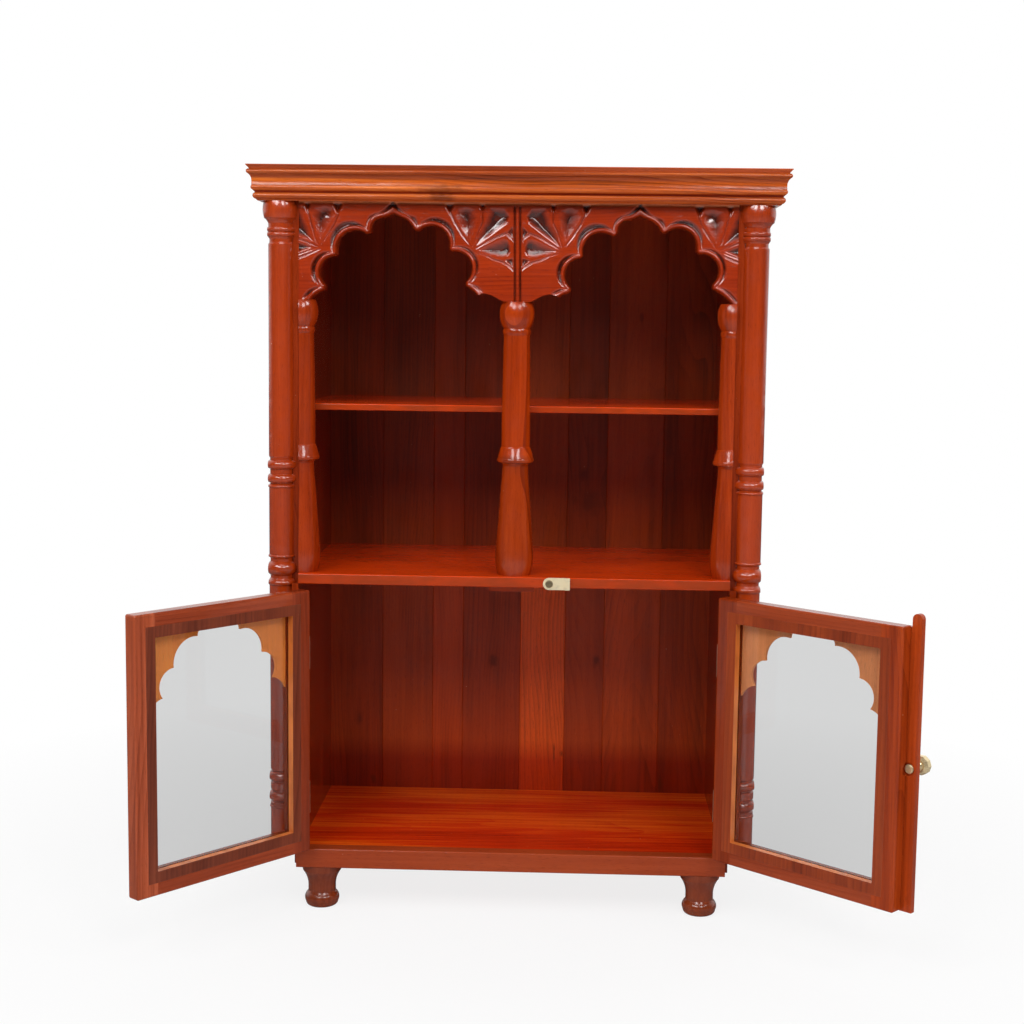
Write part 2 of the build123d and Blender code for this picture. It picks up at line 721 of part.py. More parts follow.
# ---------------------------------------------------------------- turn button
def turn_button():
    """Brass button: round at its screw, with a stepped finger end."""
    y0 = BUTTON_BACK - BUTTON_THICK
    outline = [
        (BUTTON_X + BUTTON_JOG, BUTTON_Z - BUTTON_HALF),
        (BUTTON_X + BUTTON_JOG, BUTTON_Z + BUTTON_HALF),
        (BUTTON_X, BUTTON_Z + BUTTON_HALF),
        ((BUTTON_X - BUTTON_HALF, BUTTON_Z), (BUTTON_X, BUTTON_Z - BUTTON_HALF)),
    ]
    plate = upright((BUTTON_X, BUTTON_Z - BUTTON_HALF), outline, y0, BUTTON_BACK)
    finger = block(BUTTON_X + BUTTON_JOG - BUTTON_THICK, BUTTON_X + BUTTON_REACH, y0 - BUTTON_STEP,
                   y0, BUTTON_Z - BUTTON_HALF, BUTTON_Z + BUTTON_HALF)
    boss_end = -0.05                # just clear of the shelf's edge
    boss = cylinder(BUTTON_BOSS_R, BUTTON_X, BUTTON_BACK, boss_end, BUTTON_Z)
    button = plate + finger + boss
    return button - cylinder(BUTTON_BORE_R, BUTTON_X, y0, boss_end, BUTTON_Z)


def button_screw():
    seat = BUTTON_BACK - BUTTON_THICK - 0.2
    head = cylinder(BUTTON_HEAD_R, BUTTON_X, seat - BUTTON_HEAD, seat, BUTTON_Z)
    head = fillet(head.faces().sort_by(Axis.Y)[0].edges(), 1.0)
    return head + cylinder(BUTTON_SHANK_R, BUTTON_X, seat, BUTTON_SCREW_REACH, BUTTON_Z)


# ---------------------------------------------------------------- write everything
def write_box():
    panel = side_panel()
    save(panel, "side_panel_right")
    save(mirrored(panel), "side_panel_left")
    for number, plank in enumerate(back_planks(), start=1):
        save(plank, "back_plank_" + str(number))
    save(block(-POST_FACE, POST_FACE, 0, DEPTH, CEILING_BOTTOM, CEILING_TOP), "ceiling_board")
    save(top_board(), "top_board")
    save(upper_shelf(), "upper_shelf")
    save(waist_shelf(), "waist_shelf")
    save(block(-WALL_IN, WALL_IN, BASE_FRONT_THICK, BACK_FACE, FLOOR_BOTTOM, FLOOR_TOP), "floor_board")
    save(base_front_board(), "base_front_board")
    bearer = block(BEARER_IN, WALL_IN, BASE_FRONT_THICK, BACK_FACE, BASE_BOTTOM, FLOOR_BOTTOM)
    save(bearer, "foot_bearer_right")
    save(mirrored(bearer), "foot_bearer_left")
    rail = block(-BEARER_IN, BEARER_IN, BACK_RAIL_FRONT, BACK_FACE, BASE_BOTTOM, FLOOR_BOTTOM)
    save(rail, "base_back_rail")
    stop_low = WAIST_BOTTOM - STOP_DROP
    save(block(*STOP_ENDS, STOP_FRONT, STOP_FRONT + STOP_DEEP, stop_low, WAIST_BOTTOM), "door_stop")
    names = ("cornice_front", "cornice_left", "cornice_right")
    for piece, name in zip(cornice(), names):
        save(piece, name)


def write_turned_and_carved():
    save(arch_panel(), "arch_panel")
    right_post = post()
    save(right_post, "post_right")
    save(mirrored(right_post), "post_left")
    save(centre_column(), "centre_column")
    half = colonnette()
    save(half, "colonnette_right")
    save(mirrored(half), "colonnette_left")
    for row, y in (("front", FOOT_Y), ("back", BACK_FACE - FOOT_Y)):
        save(foot(FOOT_X, y), "foot_" + row + "_right")
        save(foot(-FOOT_X, y), "foot_" + row + "_left")


def write_doors():
    pieces = door_members()
    pieces["glass"] = glass_pane()
    pieces["glazing_beads"] = glazing_beads()
    pieces["arch_spandrels"] = arch_spandrels()
    pieces["hinge_leaves"] = door_hinge_leaves()
    for name, piece in pieces.items():
        save(swing(mirrored(piece), -1, LEFT_OPEN), "left_door_" + name)
        if name == "lock_stile":
            piece = piece - screw_scoop()
        save(swing(piece, 1, RIGHT_OPEN), "right_door_" + name)
    save(swing(meeting_strip(), 1, RIGHT_OPEN), "meeting_strip")
    save(swing(knob(), 1, RIGHT_OPEN), "knob")
    save(swing(knob_screw(), 1, RIGHT_OPEN), "knob_screw")
    leaves = frame_hinge_leaves()
    save(leaves, "frame_hinge_leaves_right")
    save(mirrored(leaves), "frame_hinge_leaves_left")
    pins = hinge_pins()
    save(pins, "hinge_pins_right")
    save(mirrored(pins), "hinge_pins_left")


os.makedirs("parts", exist_ok=True)
write_box()
write_turned_and_carved()
write_doors()
save(turn_button(), "turn_button")
save(button_screw(), "button_screw")
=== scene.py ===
"""Looks of a small carved cabinet: cusped arches over display bays, and two glazed doors below.

Sizes are millimetres in the code and metres in the meshes. X, Y and Z are the frame's own.
Door pieces are worked out with the door closed, and then swung to where the door stands at rest.
"""
import json
import math

import bpy
import numpy as np
from mathutils import Matrix, Vector, noise

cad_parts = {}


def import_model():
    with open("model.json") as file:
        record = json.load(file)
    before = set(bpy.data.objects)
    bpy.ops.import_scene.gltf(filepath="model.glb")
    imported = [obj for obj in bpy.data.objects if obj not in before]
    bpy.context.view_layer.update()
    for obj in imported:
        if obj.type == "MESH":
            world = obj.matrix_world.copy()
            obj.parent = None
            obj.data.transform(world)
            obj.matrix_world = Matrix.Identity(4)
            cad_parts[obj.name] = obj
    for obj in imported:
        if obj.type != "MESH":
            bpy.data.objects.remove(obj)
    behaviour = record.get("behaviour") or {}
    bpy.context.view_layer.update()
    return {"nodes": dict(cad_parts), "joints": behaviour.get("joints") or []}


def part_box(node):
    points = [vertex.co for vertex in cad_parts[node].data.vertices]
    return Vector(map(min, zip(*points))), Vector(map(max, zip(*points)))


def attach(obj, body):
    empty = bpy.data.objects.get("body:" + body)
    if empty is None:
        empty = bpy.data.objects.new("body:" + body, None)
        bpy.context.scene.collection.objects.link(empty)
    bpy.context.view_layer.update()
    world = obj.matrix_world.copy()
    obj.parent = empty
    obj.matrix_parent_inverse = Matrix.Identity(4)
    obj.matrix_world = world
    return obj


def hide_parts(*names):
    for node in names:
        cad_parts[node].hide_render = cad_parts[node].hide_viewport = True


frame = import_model()
nodes = frame["nodes"]

MM = 0.001
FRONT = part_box("waist_shelf")[0].y / MM          # front plane of the boards
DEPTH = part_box("back_plank_1")[1].y / MM - FRONT
WALL_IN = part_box("side_panel_right")[0].x / MM
POST_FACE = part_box("post_right")[1].x / MM
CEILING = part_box("ceiling_board")[0].z / MM


# ---------------------------------------- camera, lights, stage
CAMERA_PLACE = (65.2, -2141.4, 732.1)
CAMERA_YAW = 0.03388                 # to the left, in radians
CAMERA_PITCH = 0.11367               # down
CAMERA_ROLL = 0.01238
FOCAL_SHARE = 1662.4 / 1024          # focal length over the picture's width
SENSOR_WIDTH = 36


def camera():
    """The viewpoint: a little to the right of the middle, looking slightly down and left."""
    place = Vector(CAMERA_PLACE) * MM
    ahead = Vector((-math.sin(CAMERA_YAW) * math.cos(CAMERA_PITCH),
                    math.cos(CAMERA_YAW) * math.cos(CAMERA_PITCH),
                    -math.sin(CAMERA_PITCH)))
    level = Vector((math.cos(CAMERA_YAW), math.sin(CAMERA_YAW), 0))
    above = level.cross(ahead)
    right = level * math.cos(CAMERA_ROLL) + above * math.sin(CAMERA_ROLL)
    up = above * math.cos(CAMERA_ROLL) - level * math.sin(CAMERA_ROLL)
    data = bpy.data.cameras.new("camera")
    data.sensor_width = SENSOR_WIDTH
    data.lens = FOCAL_SHARE * SENSOR_WIDTH
    data.clip_start = 0.05
    data.clip_end = 60
    seat = bpy.data.objects.new("camera", data)
    seat.matrix_world = Matrix((
        (right.x, up.x, -ahead.x, place.x),
        (right.y, up.y, -ahead.y, place.y),
        (right.z, up.z, -ahead.z, place.z),
        (0, 0, 0, 1)))
    bpy.context.scene.collection.objects.link(seat)
    bpy.context.scene.camera = seat


def softbox(name, place, aim, wide, tall, power):
    """A rectangular lamp in metres and watts, turned to its aim."""
    data = bpy.data.lights.new(name, "AREA")
    data.shape = "RECTANGLE"
    data.size = wide
    data.size_y = tall
    data.energy = power
    lamp = bpy.data.objects.new(name, data)
    lamp.location = place
    lamp.rotation_mode = "QUATERNION"
    lamp.rotation_quaternion = (Vector(aim) - Vector(place)).to_track_quat("-Z", "Y")
    bpy.context.scene.collection.objects.link(lamp)


def lights():
    """Two keys, two high softboxes that the carving mirrors, one over the top and one behind."""
    carving = (0, 0, 0.8)
    middle = (0, 0, 0.5)
    softbox("key_left", (-0.8, -2.3, 2.05), middle, 0.72, 0.72, 17)
    softbox("key_right", (0.85, -2.3, 2.0), middle, 0.72, 0.72, 19)
    softbox("softbox_left", (-1.46, -1.62, 2.25), carving, 0.8, 0.6, 16)
    softbox("softbox_right", (1.72, -1.34, 2.2), carving, 0.7, 0.6, 14)
    softbox("softbox_over", (0, -1.0, 2.5), carving, 1.1, 0.4, 5)
    softbox("softbox_back", (0.3, 2.2, 1.9), middle, 1.6, 1.0, 14)


FILL = 0.28                # even light from all round
DARK_ROOM = 0.03           # what the lacquer mirrors on the camera's side
BACKDROP_EDGE = (-0.25, 0.45)        # where that gives way to the backdrop, as a ray's own Y
THROUGH_GLASS = 0.72       # backdrop as it is seen through the panes
FLOOR_HALF = 12.0          # half side of the floor, in metres
FLOOR_TONE = 0.86
FLOOR_DIM = 0.5            # how much darker it is where the lacquer mirrors it
SHADOW_NEAR = 0.35         # the shadow is kept within this distance, and is gone at SHADOW_FAR
SHADOW_FAR = 1.1
SHADOW_GLOW = 0.82         # white that the camera sees in the floor near the object


def world():
    """White backdrop for camera, glass and what mirrors it, and a soft even fill for the rest."""
    made = bpy.data.worlds.new("studio")
    bpy.context.scene.world = made
    made.use_nodes = True
    tree = made.node_tree
    tree.nodes.clear()
    path = shader(tree, "LightPath")
    ray = shader(tree, "TexCoord")
    split = shader(tree, "SeparateXYZ", Vector=ray.outputs["Generated"])
    behind = stretch(tree, split.outputs["Y"], *BACKDROP_EDGE)
    mirrored = maths(tree, "MULTIPLY", path.outputs["Is Glossy Ray"], behind)
    seen = maths(tree, "MAXIMUM", path.outputs["Is Camera Ray"], mirrored)
    through = maths(tree, "MULTIPLY", path.outputs["Is Transmission Ray"], THROUGH_GLASS)
    seen = maths(tree, "MAXIMUM", seen, through)
    bare = maths(tree, "SUBTRACT", 1.0, maths(tree, "MAXIMUM", seen, path.outputs["Is Glossy Ray"]))
    level = maths(tree, "ADD", seen, maths(tree, "MULTIPLY", bare, FILL))
    level = maths(tree, "MAXIMUM", level, DARK_ROOM)
    sky = shader(tree, "Background", Color=(1, 1, 1, 1), Strength=level)
    shader(tree, "OutputWorld", Surface=sky.outputs[0])


def floor():
    """Pale floor that keeps a faint shadow near the object and runs out into the white backdrop."""
    mesh = bpy.data.meshes.new("floor")
    corners = [(x * FLOOR_HALF, y * FLOOR_HALF, 0) for x, y in ((-1, -1), (1, -1), (1, 1), (-1, 1))]
    mesh.from_pydata(corners, [], [(0, 1, 2, 3)])
    ground = bpy.data.objects.new("floor", mesh)
    bpy.context.scene.collection.objects.link(ground)
    material, tree, out = blank("pale_floor")
    path = shader(tree, "LightPath")
    through = maths(tree, "MULTIPLY", path.outputs["Is Transmission Ray"], THROUGH_GLASS)
    seen = maths(tree, "MAXIMUM", path.outputs["Is Camera Ray"], through)
    place = shader(tree, "TexCoord")
    reach = vectors(tree, "LENGTH", place.outputs["Object"]).outputs["Value"]
    fade = stretch(tree, reach, SHADOW_NEAR, SHADOW_FAR, SHADOW_GLOW, 1.0)
    share = maths(tree, "MULTIPLY", seen, fade)
    mirrored = maths(tree, "MULTIPLY", path.outputs["Is Glossy Ray"], FLOOR_DIM)
    paper = shader(tree, "BsdfDiffuse", Color=maths(tree, "SUBTRACT", FLOOR_TONE, mirrored))
    glow = shader(tree, "Emission")
    mix = shader(tree, "MixShader", Fac=share)
    tree.links.new(paper.outputs[0], mix.inputs[1])
    tree.links.new(glow.outputs[0], mix.inputs[2])
    tree.links.new(mix.outputs[0], out.inputs["Surface"])
    mesh.materials.append(material)


# ---------------------------------------- node helpers
def blank(name):
    """An empty node material: the material, its tree and its output."""
    material = bpy.data.materials.new(name)
    material.use_nodes = True
    tree = material.node_tree
    tree.nodes.clear()
    return material, tree, shader(tree, "OutputMaterial")


def shader(tree, kind, **inputs):
    """A shader node of one kind; an input is a socket or a constant, with _ for a space."""
    made = tree.nodes.new("ShaderNode" + kind)
    for name, value in inputs.items():
        plug(tree, value, made.inputs[name.replace("_", " ")])
    return made


def vectors(tree, operation, *values, kind="VectorMath"):
    """A Vector Math node; an input is a socket or a triple."""
    step = shader(tree, kind)
    step.operation = operation
    for value, socket in zip(values, step.inputs):
        plug(tree, value, socket)
    return step


def maths(tree, operation, *values):
    """A Math node's result; an input is a socket or a number."""
    return vectors(tree, operation, *values, kind="Math").outputs[0]


def plug(tree, value, socket):
    """Link a socket, or set a constant."""
    if isinstance(value, bpy.types.NodeSocket):
        tree.links.new(value, socket)
    else:
        socket.default_value = value


def ramp(tree, value, stops):
    """Colour ramp from (position, colour) pairs."""
    step = shader(tree, "ValToRGB")
    points = step.color_ramp.elements
    while len(points) < len(stops):
        points.new(0.5)
    for point, (position, colour) in zip(points, stops):
        point.position = position
        point.color = (*colour, 1)
    plug(tree, value, step.inputs[0])
    return step.outputs[0]


def stretch(tree, value, low, high, to_low=0.0, to_high=1.0):
    """Map low to high onto to_low to to_high, held at the ends."""
    step = shader(tree, "MapRange", Value=value, From_Min=low, From_Max=high, To_Min=to_low,
                  To_Max=to_high)
    return step.outputs["Result"]


def grain_noise(tree, along_grain, scale, detail, roughness=0.5):
    """Noise on the grain's own axes; scale is (along, across, through) in cycles per metre."""
    fit = shader(tree, "Mapping", Scale=scale, Vector=along_grain)
    step = shader(tree, "TexNoise", Scale=1.0, Detail=detail, Roughness=roughness,
                  Vector=fit.outputs[0])
    return step.outputs["Fac"]


def blend(tree, kind, amount, base, top):
    """Mix or multiply two colours; each is a socket or a triple."""
    step = shader(tree, "Mix")
    step.data_type = "RGBA"
    step.blend_type = kind
    plug(tree, amount, step.inputs["Factor"])
    for value, socket in ((base, step.inputs[6]), (top, step.inputs[7])):
        if isinstance(value, tuple):
            socket.default_value = (*value, 1)
        else:
            tree.links.new(value, socket)
    return step.outputs[2]


def tone(red, green, blue):
    """A colour written as it is seen (0 to 255), as the shader wants it."""
    def linear(value):
        value /= 255
        return value / 12.92 if value <= 0.04045 else ((value + 0.055) / 1.055) ** 2.4
    return linear(red), linear(green), linear(blue)


# ---------------------------------------- materials
GRAIN_TURN = {"x": (0, 0, 0), "y": (0, 0, -math.pi / 2), "z": (0, math.pi / 2, 0)}


def wood(name, grain, dark, middle, light, seed, gap=6.0, pith=(30, 22), figure=0.5, blotch=0.6,
         broad=(2.2, 20), streaks=0.2, gloss=0.16, polish=0.36, wavy=1.0, stain_and_shade=None, edge=None,
         knots=(), bands=None, above=None, front=None):
    """Stained, lacquered hardwood. grain is x, y, z or the angle of a level grain about Z.

    dark, middle and light are the stain's tones. gap is the spacing of the growth rings and pith
    where their middle lies, both in mm; figure is how dark the late wood is, blotch how cloudy the
    stain is, in patches of broad (along and across, per metre), and streaks how streaky. gloss is
    the lacquer's roughness, polish how much it mirrors, and wavy how uneven it lies.
    The colour for carved hollows is their dark stain and painted shade, from the mesh's own attribute.
    edge is (direction, colour): faces that don't look along direction take that colour, painting how
    differently the light falls on them.
    knots are (place, half height, half width, darkness), in mm but for the last.
    bands are (height in mm, tint) pairs up the piece, and above is (height, tint) of its upper part.
    front is how far back (Y in mm) these two reach, for a board that is plain behind.
    """
    material, tree, out = blank(name)
    place = shader(tree, "TexCoord")
    turn = shader(tree, "Mapping", Vector=place.outputs["Object"],
                  Rotation=GRAIN_TURN.get(grain) or (0, 0, -grain))
    lay = vectors(tree, "ADD", turn.outputs[0], (0.37 * seed, 0.171 * seed, 0.113 * seed)).outputs[0]

    rings = growth_rings(tree, turn.outputs[0], lay, seed, gap, pith)
    cloud = grain_noise(tree, lay, (broad[0], broad[1], broad[1]), 3.0, 0.55)
    streak = grain_noise(tree, lay, (4, 190, 190), 3.0, 0.6)
    fibre = grain_noise(tree, lay, (18, 1300, 1300), 2.0, 0.6)
    pore = stretch(tree, grain_noise(tree, lay, (110, 1700, 1700), 1.0), 0.62, 0.74)

    value = stretch(tree, cloud, 0.28, 0.72, 0.5 - blotch / 2, 0.5 + blotch / 2)
    value = maths(tree, "ADD", value, stretch(tree, streak, 0.3, 0.7, -streaks, streaks))
    value = maths(tree, "ADD", value, stretch(tree, fibre, 0.3, 0.7, -0.07, 0.07))
    value = maths(tree, "SUBTRACT", value, maths(tree, "MULTIPLY", rings, figure))
    colour = ramp(tree, value, ((0.0, dark), (0.5, middle), (1.0, light)))
    colour = blend(tree, "MIX", maths(tree, "MULTIPLY", pore, 0.4), colour,
                   tuple(0.3 * c for c in dark))
    speck = stretch(tree, grain_noise(tree, lay, (240, 260, 260), 1.0), 0.80, 0.86, 0.0, 0.6)
    colour = blend(tree, "MIX", speck, colour, tone(205, 160, 130))
    spot = shader(tree, "SeparateXYZ", Vector=place.outputs["Object"])
    reach = 1.0
    if front is not None:
        reach = stretch(tree, spot.outputs["Y"], (front + 2) * MM, (front + 4) * MM, 1.0, 0.0)
    if bands is not None:
        low, high = bands[0][0], bands[-1][0]
        level = stretch(tree, spot.outputs["Z"], low * MM, high * MM)
        tint = ramp(tree, level, [((z - low) / (high - low), tint) for z, tint in bands])
        colour = blend(tree, "MULTIPLY", reach, colour, tint)
    if above is not None:
        level = stretch(tree, spot.outputs["Z"], (above[0] - 2) * MM, (above[0] + 2) * MM)
        colour = blend(tree, "MULTIPLY", maths(tree, "MULTIPLY", level, reach), colour, above[1])
    for knot in knots:
        colour = blend(tree, "MIX", knot_mask(tree, place.outputs["Object"], lay, knot), colour,
                       tuple(0.45 * c for c in dark))
    # dark stain and painted shade in carved hollows, from the mesh's attribute
    if stain_and_shade is not None:
        depth = shader(tree, "Attribute")
        depth.attribute_name = "stain_and_shade"
        patch = grain_noise(tree, lay, (70, 90, 90), 2.0)
        stain = maths(tree, "MULTIPLY", depth.outputs["Fac"], stretch(tree, patch, 0.3, 0.6, 0.7, 1.0))
        colour = blend(tree, "MIX", stain, colour, stain_and_shade)
    # painted light: faces that don't look along the direction take their own colour
    if edge is not None:
        direction, painted_side_colour = edge
        facing = vectors(tree, "DOT_PRODUCT", place.outputs["Normal"], direction)
        side = maths(tree, "ABSOLUTE", facing.outputs["Value"])
        side = stretch(tree, side, 0.35, 0.75, 1.0, 0.0)
        patch = stretch(tree, grain_noise(tree, lay, (25, 60, 60), 2.0), 0.35, 0.6, 0.6, 1.0)
        colour = blend(tree, "MIX", maths(tree, "MULTIPLY", side, patch), colour, painted_side_colour)

    brushed = grain_noise(tree, lay, (18, 110, 110), 2.0)
    ripple = grain_noise(tree, lay, (60, 75, 75), 1.0)
    relief = maths(tree, "MULTIPLY", brushed, 0.5)
    relief = maths(tree, "ADD", relief, maths(tree, "MULTIPLY", ripple, 0.9 * wavy))
    relief = maths(tree, "ADD", relief, maths(tree, "MULTIPLY", fibre, 0.05))
    relief = maths(tree, "SUBTRACT", relief, maths(tree, "MULTIPLY", pore, 0.12))
    bump = shader(tree, "Bump", Strength=0.5, Distance=0.0005, Height=relief)
    rough = stretch(tree, grain_noise(tree, lay, (40, 70, 70), 3.0), 0.3, 0.7, gloss * 0.8, gloss * 1.4)
    skin = shader(tree, "BsdfPrincipled", Base_Color=colour, Roughness=rough,
                  Specular_IOR_Level=polish, Normal=bump.outputs[0])
    tree.links.new(skin.outputs[0], out.inputs["Surface"])
    return material


RING_WARP = 0.05                     # how far the rings wander, in metres
RING_LEAN = 0.05                     # how far the tree's axis leans in the board, in radians


def growth_rings(tree, turned, lay, seed, gap, pith):
    """Late wood of the growth rings, 0 to 1: leaning tubes about the pith, warped by the growth."""
    fit = shader(tree, "Mapping", Scale=(2.2, 13, 13), Vector=lay)
    swell = shader(tree, "TexNoise", Scale=1.0, Detail=2.0, Vector=fit.outputs[0])
    centred = vectors(tree, "SUBTRACT", swell.outputs["Color"], (0.5, 0.5, 0.5))
    warp = vectors(tree, "MULTIPLY_ADD", centred.outputs[0], (0, RING_WARP, RING_WARP), turned)
    lean = shader(tree, "Mapping", Vector=warp.outputs[0],
                  Location=(0, pith[0] * MM, pith[1] * MM),
                  Rotation=(0, RING_LEAN * math.sin(2.4 * seed), RING_LEAN * math.cos(1.7 * seed)))
    flat = vectors(tree, "MULTIPLY", lean.outputs[0], (0, 1, 1))
    reach = vectors(tree, "LENGTH", flat.outputs[0])
    count = maths(tree, "DIVIDE", reach.outputs["Value"], gap * MM)
    late = maths(tree, "POWER", maths(tree, "FRACT", count), 2.6)
    clear = stretch(tree, grain_noise(tree, lay, (3, 16, 16), 2.0), 0.36, 0.62, 0.12, 1.0)
    return maths(tree, "MULTIPLY", late, clear)


def knot_mask(tree, place, lay, knot):
    """How much of a knot's dark patch lies at each point."""
    (x, y, z), tall, wide, darkness = knot
    gap = vectors(tree, "SUBTRACT", place, (x * MM, y * MM, z * MM))
    squash = vectors(tree, "DIVIDE", gap.outputs[0], (wide * MM, 1, tall * MM))
    reach = vectors(tree, "LENGTH", squash.outputs[0])
    ragged = stretch(tree, grain_noise(tree, lay, (90, 130, 130), 3.0), 0.3, 0.7, -0.35, 0.35)
    return stretch(tree, maths(tree, "ADD", reach.outputs["Value"], ragged), 1.25, 0.35, 0.0, darkness)


def metal(name, colour, gloss, dull=0.62, bare=1.0):
    """Scratched metal; dull is the share of its colour in the tarnish, and bare how metallic it is."""
    material, tree, out = blank(name)
    place = shader(tree, "TexCoord")
    tarnish = grain_noise(tree, place.outputs["Object"], (110, 110, 110), 3.0, 0.55)
    shade = ramp(tree, tarnish, ((0.28, tuple(dull * c for c in colour)), (0.55, colour)))
    scratch = grain_noise(tree, place.outputs["Object"], (300, 2600, 900), 2.0)
    bump = shader(tree, "Bump", Strength=0.25, Distance=0.0001, Height=scratch)
    rough = stretch(tree, scratch, 0.3, 0.7, gloss * 0.8, gloss * 1.4)
    skin = shader(tree, "BsdfPrincipled", Base_Color=shade, Metallic=bare, Roughness=rough,
                  Normal=bump.outputs[0])
    tree.links.new(skin.outputs[0], out.inputs["Surface"])
    return material


def glass(name):
    """Clear float glass with a faint grey body and a few smears."""
    material, tree, out = blank(name)
    place = shader(tree, "TexCoord")
    smear = grain_noise(tree, place.outputs["Object"], (9, 9, 9), 3.0)
    skin = shader(tree, "BsdfPrincipled", Base_Color=(0.85, 0.855, 0.855, 1), IOR=1.25,
                  Transmission_Weight=1.0, Roughness=stretch(tree, smear, 0.45, 0.8, 0.0, 0.03))
    tree.links.new(skin.outputs[0], out.inputs["Surface"])
    return material


def coat(name, material):
    """Give one CAD node its material."""
    node = nodes[name]
    node.data.materials.clear()
    node.data.materials.append(material)


PLANK_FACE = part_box("back_plank_4")[0].y / MM
WAIST = 418                          # within the waist shelf's thickness
COLLAR = 571                         # top of the centre column's collar
PALE_PLANK = 5
# the planks' middle tones, and where the pith of each tree lies, across and behind
PLANKS = [
    (157, 54, 13, 25, 150), (163, 60, 15, -35, 160), (172, 61, 14, 10, 170), (157, 55, 15, 38, 172),
    (214, 86, 24, -40, 176), (156, 57, 16, 15, 168), (182, 69, 17, -55, 172), (172, 63, 15, 10, 160),
]
FLOOR_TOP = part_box("floor_board")[1].z / MM
# painted shade and red bounce light on the planks, darker and redder near the floor board: height and
# tint
PLANK_FOOT_SHADE = [
    (FLOOR_TOP, (0.6, 0.28, 0.1)), (FLOOR_TOP + 42, (0.66, 0.34, 0.15)), (FLOOR_TOP + 72, (1, 1, 1)),
    (CEILING, (1, 1, 1)),
]
# knots, cracks and stains of the planks: x, z, half height, half width and darkness
PLANK_MARKS = [
    (-35, 262, 9, 7, 0.6),
    (108, 265, 9, 5, 0.6),
    (-223, 178, 9, 6, 0.35),
    (-203, 89, 7, 4, 0.5),
    (200, 92, 10, 3, 0.5),
    (51, 134, 14, 1.6, 0.8),
    (62, 132, 4, 3, 0.7),
    (94, 486, 18, 20, 0.45),
    (85, 526, 8, 7, 0.5),
    (161, 740, 7, 3, 0.5),
    (203, 575, 30, 8, 0.35),
]

joint_range = {joint["child"]: joint["range_deg"] for joint in frame["joints"] if "range_deg" in joint}
LEFT_OPEN = math.radians(-joint_range["left_door"][1])
RIGHT_OPEN = math.radians(-joint_range["right_door"][0])


def shades(red, green, blue, spread=0.34):
    """Dark, middle and light tones of one stain, from its middle tone as it is seen."""
    middle = tone(red, green, blue)
    dark = tuple(c * (1 - spread) ** (1.6 + 0.5 * k) for k, c in enumerate(middle))
    light = tuple(min(1.0, c * (1 + spread) ** (1.3 + 0.7 * k)) for k, c in enumerate(middle))
    return dark, middle, light


def back_planks():
    """The back's planks, each its own tone. The pale one is even. All are darker above the waist,
    partly a darker stain and partly painted shade of the upper bays, the pale one most.
    """
    for number, (red, green, blue, *pith) in enumerate(PLANKS, start=1):
        stain = (tone(0.70 * red, 0.72 * green, 0.7 * blue), tone(red, green, blue),
                 tone(1.15 * red, 1.2 * green, 1.3 * blue))
        pale = number == PALE_PLANK
        # above the waist: partly a darker stain, partly painted shade of the upper bays
        shade = (0.36, 0.34, 0.3) if pale else (0.6, 0.58, 0.5)
        low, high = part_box("back_plank_%d" % number)
        marks = [((x, PLANK_FACE, z), *size) for x, z, *size in PLANK_MARKS
                 if low.x < x * MM < high.x]
        made = wood("plank_%d" % number, "z", *stain, seed=number, figure=0.3,
                    blotch=0.3 if pale else 0.75, gap=4.6, streaks=0.14, broad=(1.8, 15), pith=pith,
                    gloss=0.36, polish=0.22, bands=PLANK_FOOT_SHADE, above=(WAIST, shade),
                    front=PLANK_FACE, knots=marks)
        coat("back_plank_%d" % number, made)


def turned_work():
    """Posts, colonnettes, centre column and feet, with a thick lacquer."""
    post = shades(168, 55, 11, 0.25)
    colonnette = shades(160, 52, 11, 0.25)
    foot = shades(130, 54, 25, 0.2)
    for side in ("left", "right"):
        shift = len(side)
        coat("post_" + side, wood("post_wood_" + side, "z", *post, seed=12 + shift, figure=0.1,
                                  blotch=0.5, streaks=0.12, gap=3.2, polish=1.0, wavy=2.8))
        coat("colonnette_" + side, wood("colonnette_wood_" + side, "z", *colonnette, seed=22 + shift,
                                        figure=0.3, gap=5.0, polish=0.65, wavy=2.0))
        for row, number in (("front", 31), ("back", 41)):
            made = wood("%s_foot_wood_%s" % (row, side), "z", *foot, seed=number + shift, figure=0.2,
                        polish=0.6, wavy=1.6)
            coat("foot_%s_%s" % (row, side), made)
    coat("centre_column", wood("column_wood", "z", *shades(157, 53, 11, 0.25), seed=51, figure=0.7,
                               gap=13.0, polish=0.6, wavy=2.4, above=(COLLAR, (1.32, 1.22, 0.7))))


# how far each door stands open, and its tones: hinge stile, lock stile, beads and raw wood
DOORS = [
    ("left", LEFT_OPEN, (146, 56, 26), (170, 76, 42), (124, 53, 28), (255, 146, 64)),
    ("right", RIGHT_OPEN, (142, 49, 10), (162, 58, 14), (148, 56, 16), (240, 148, 90)),
]


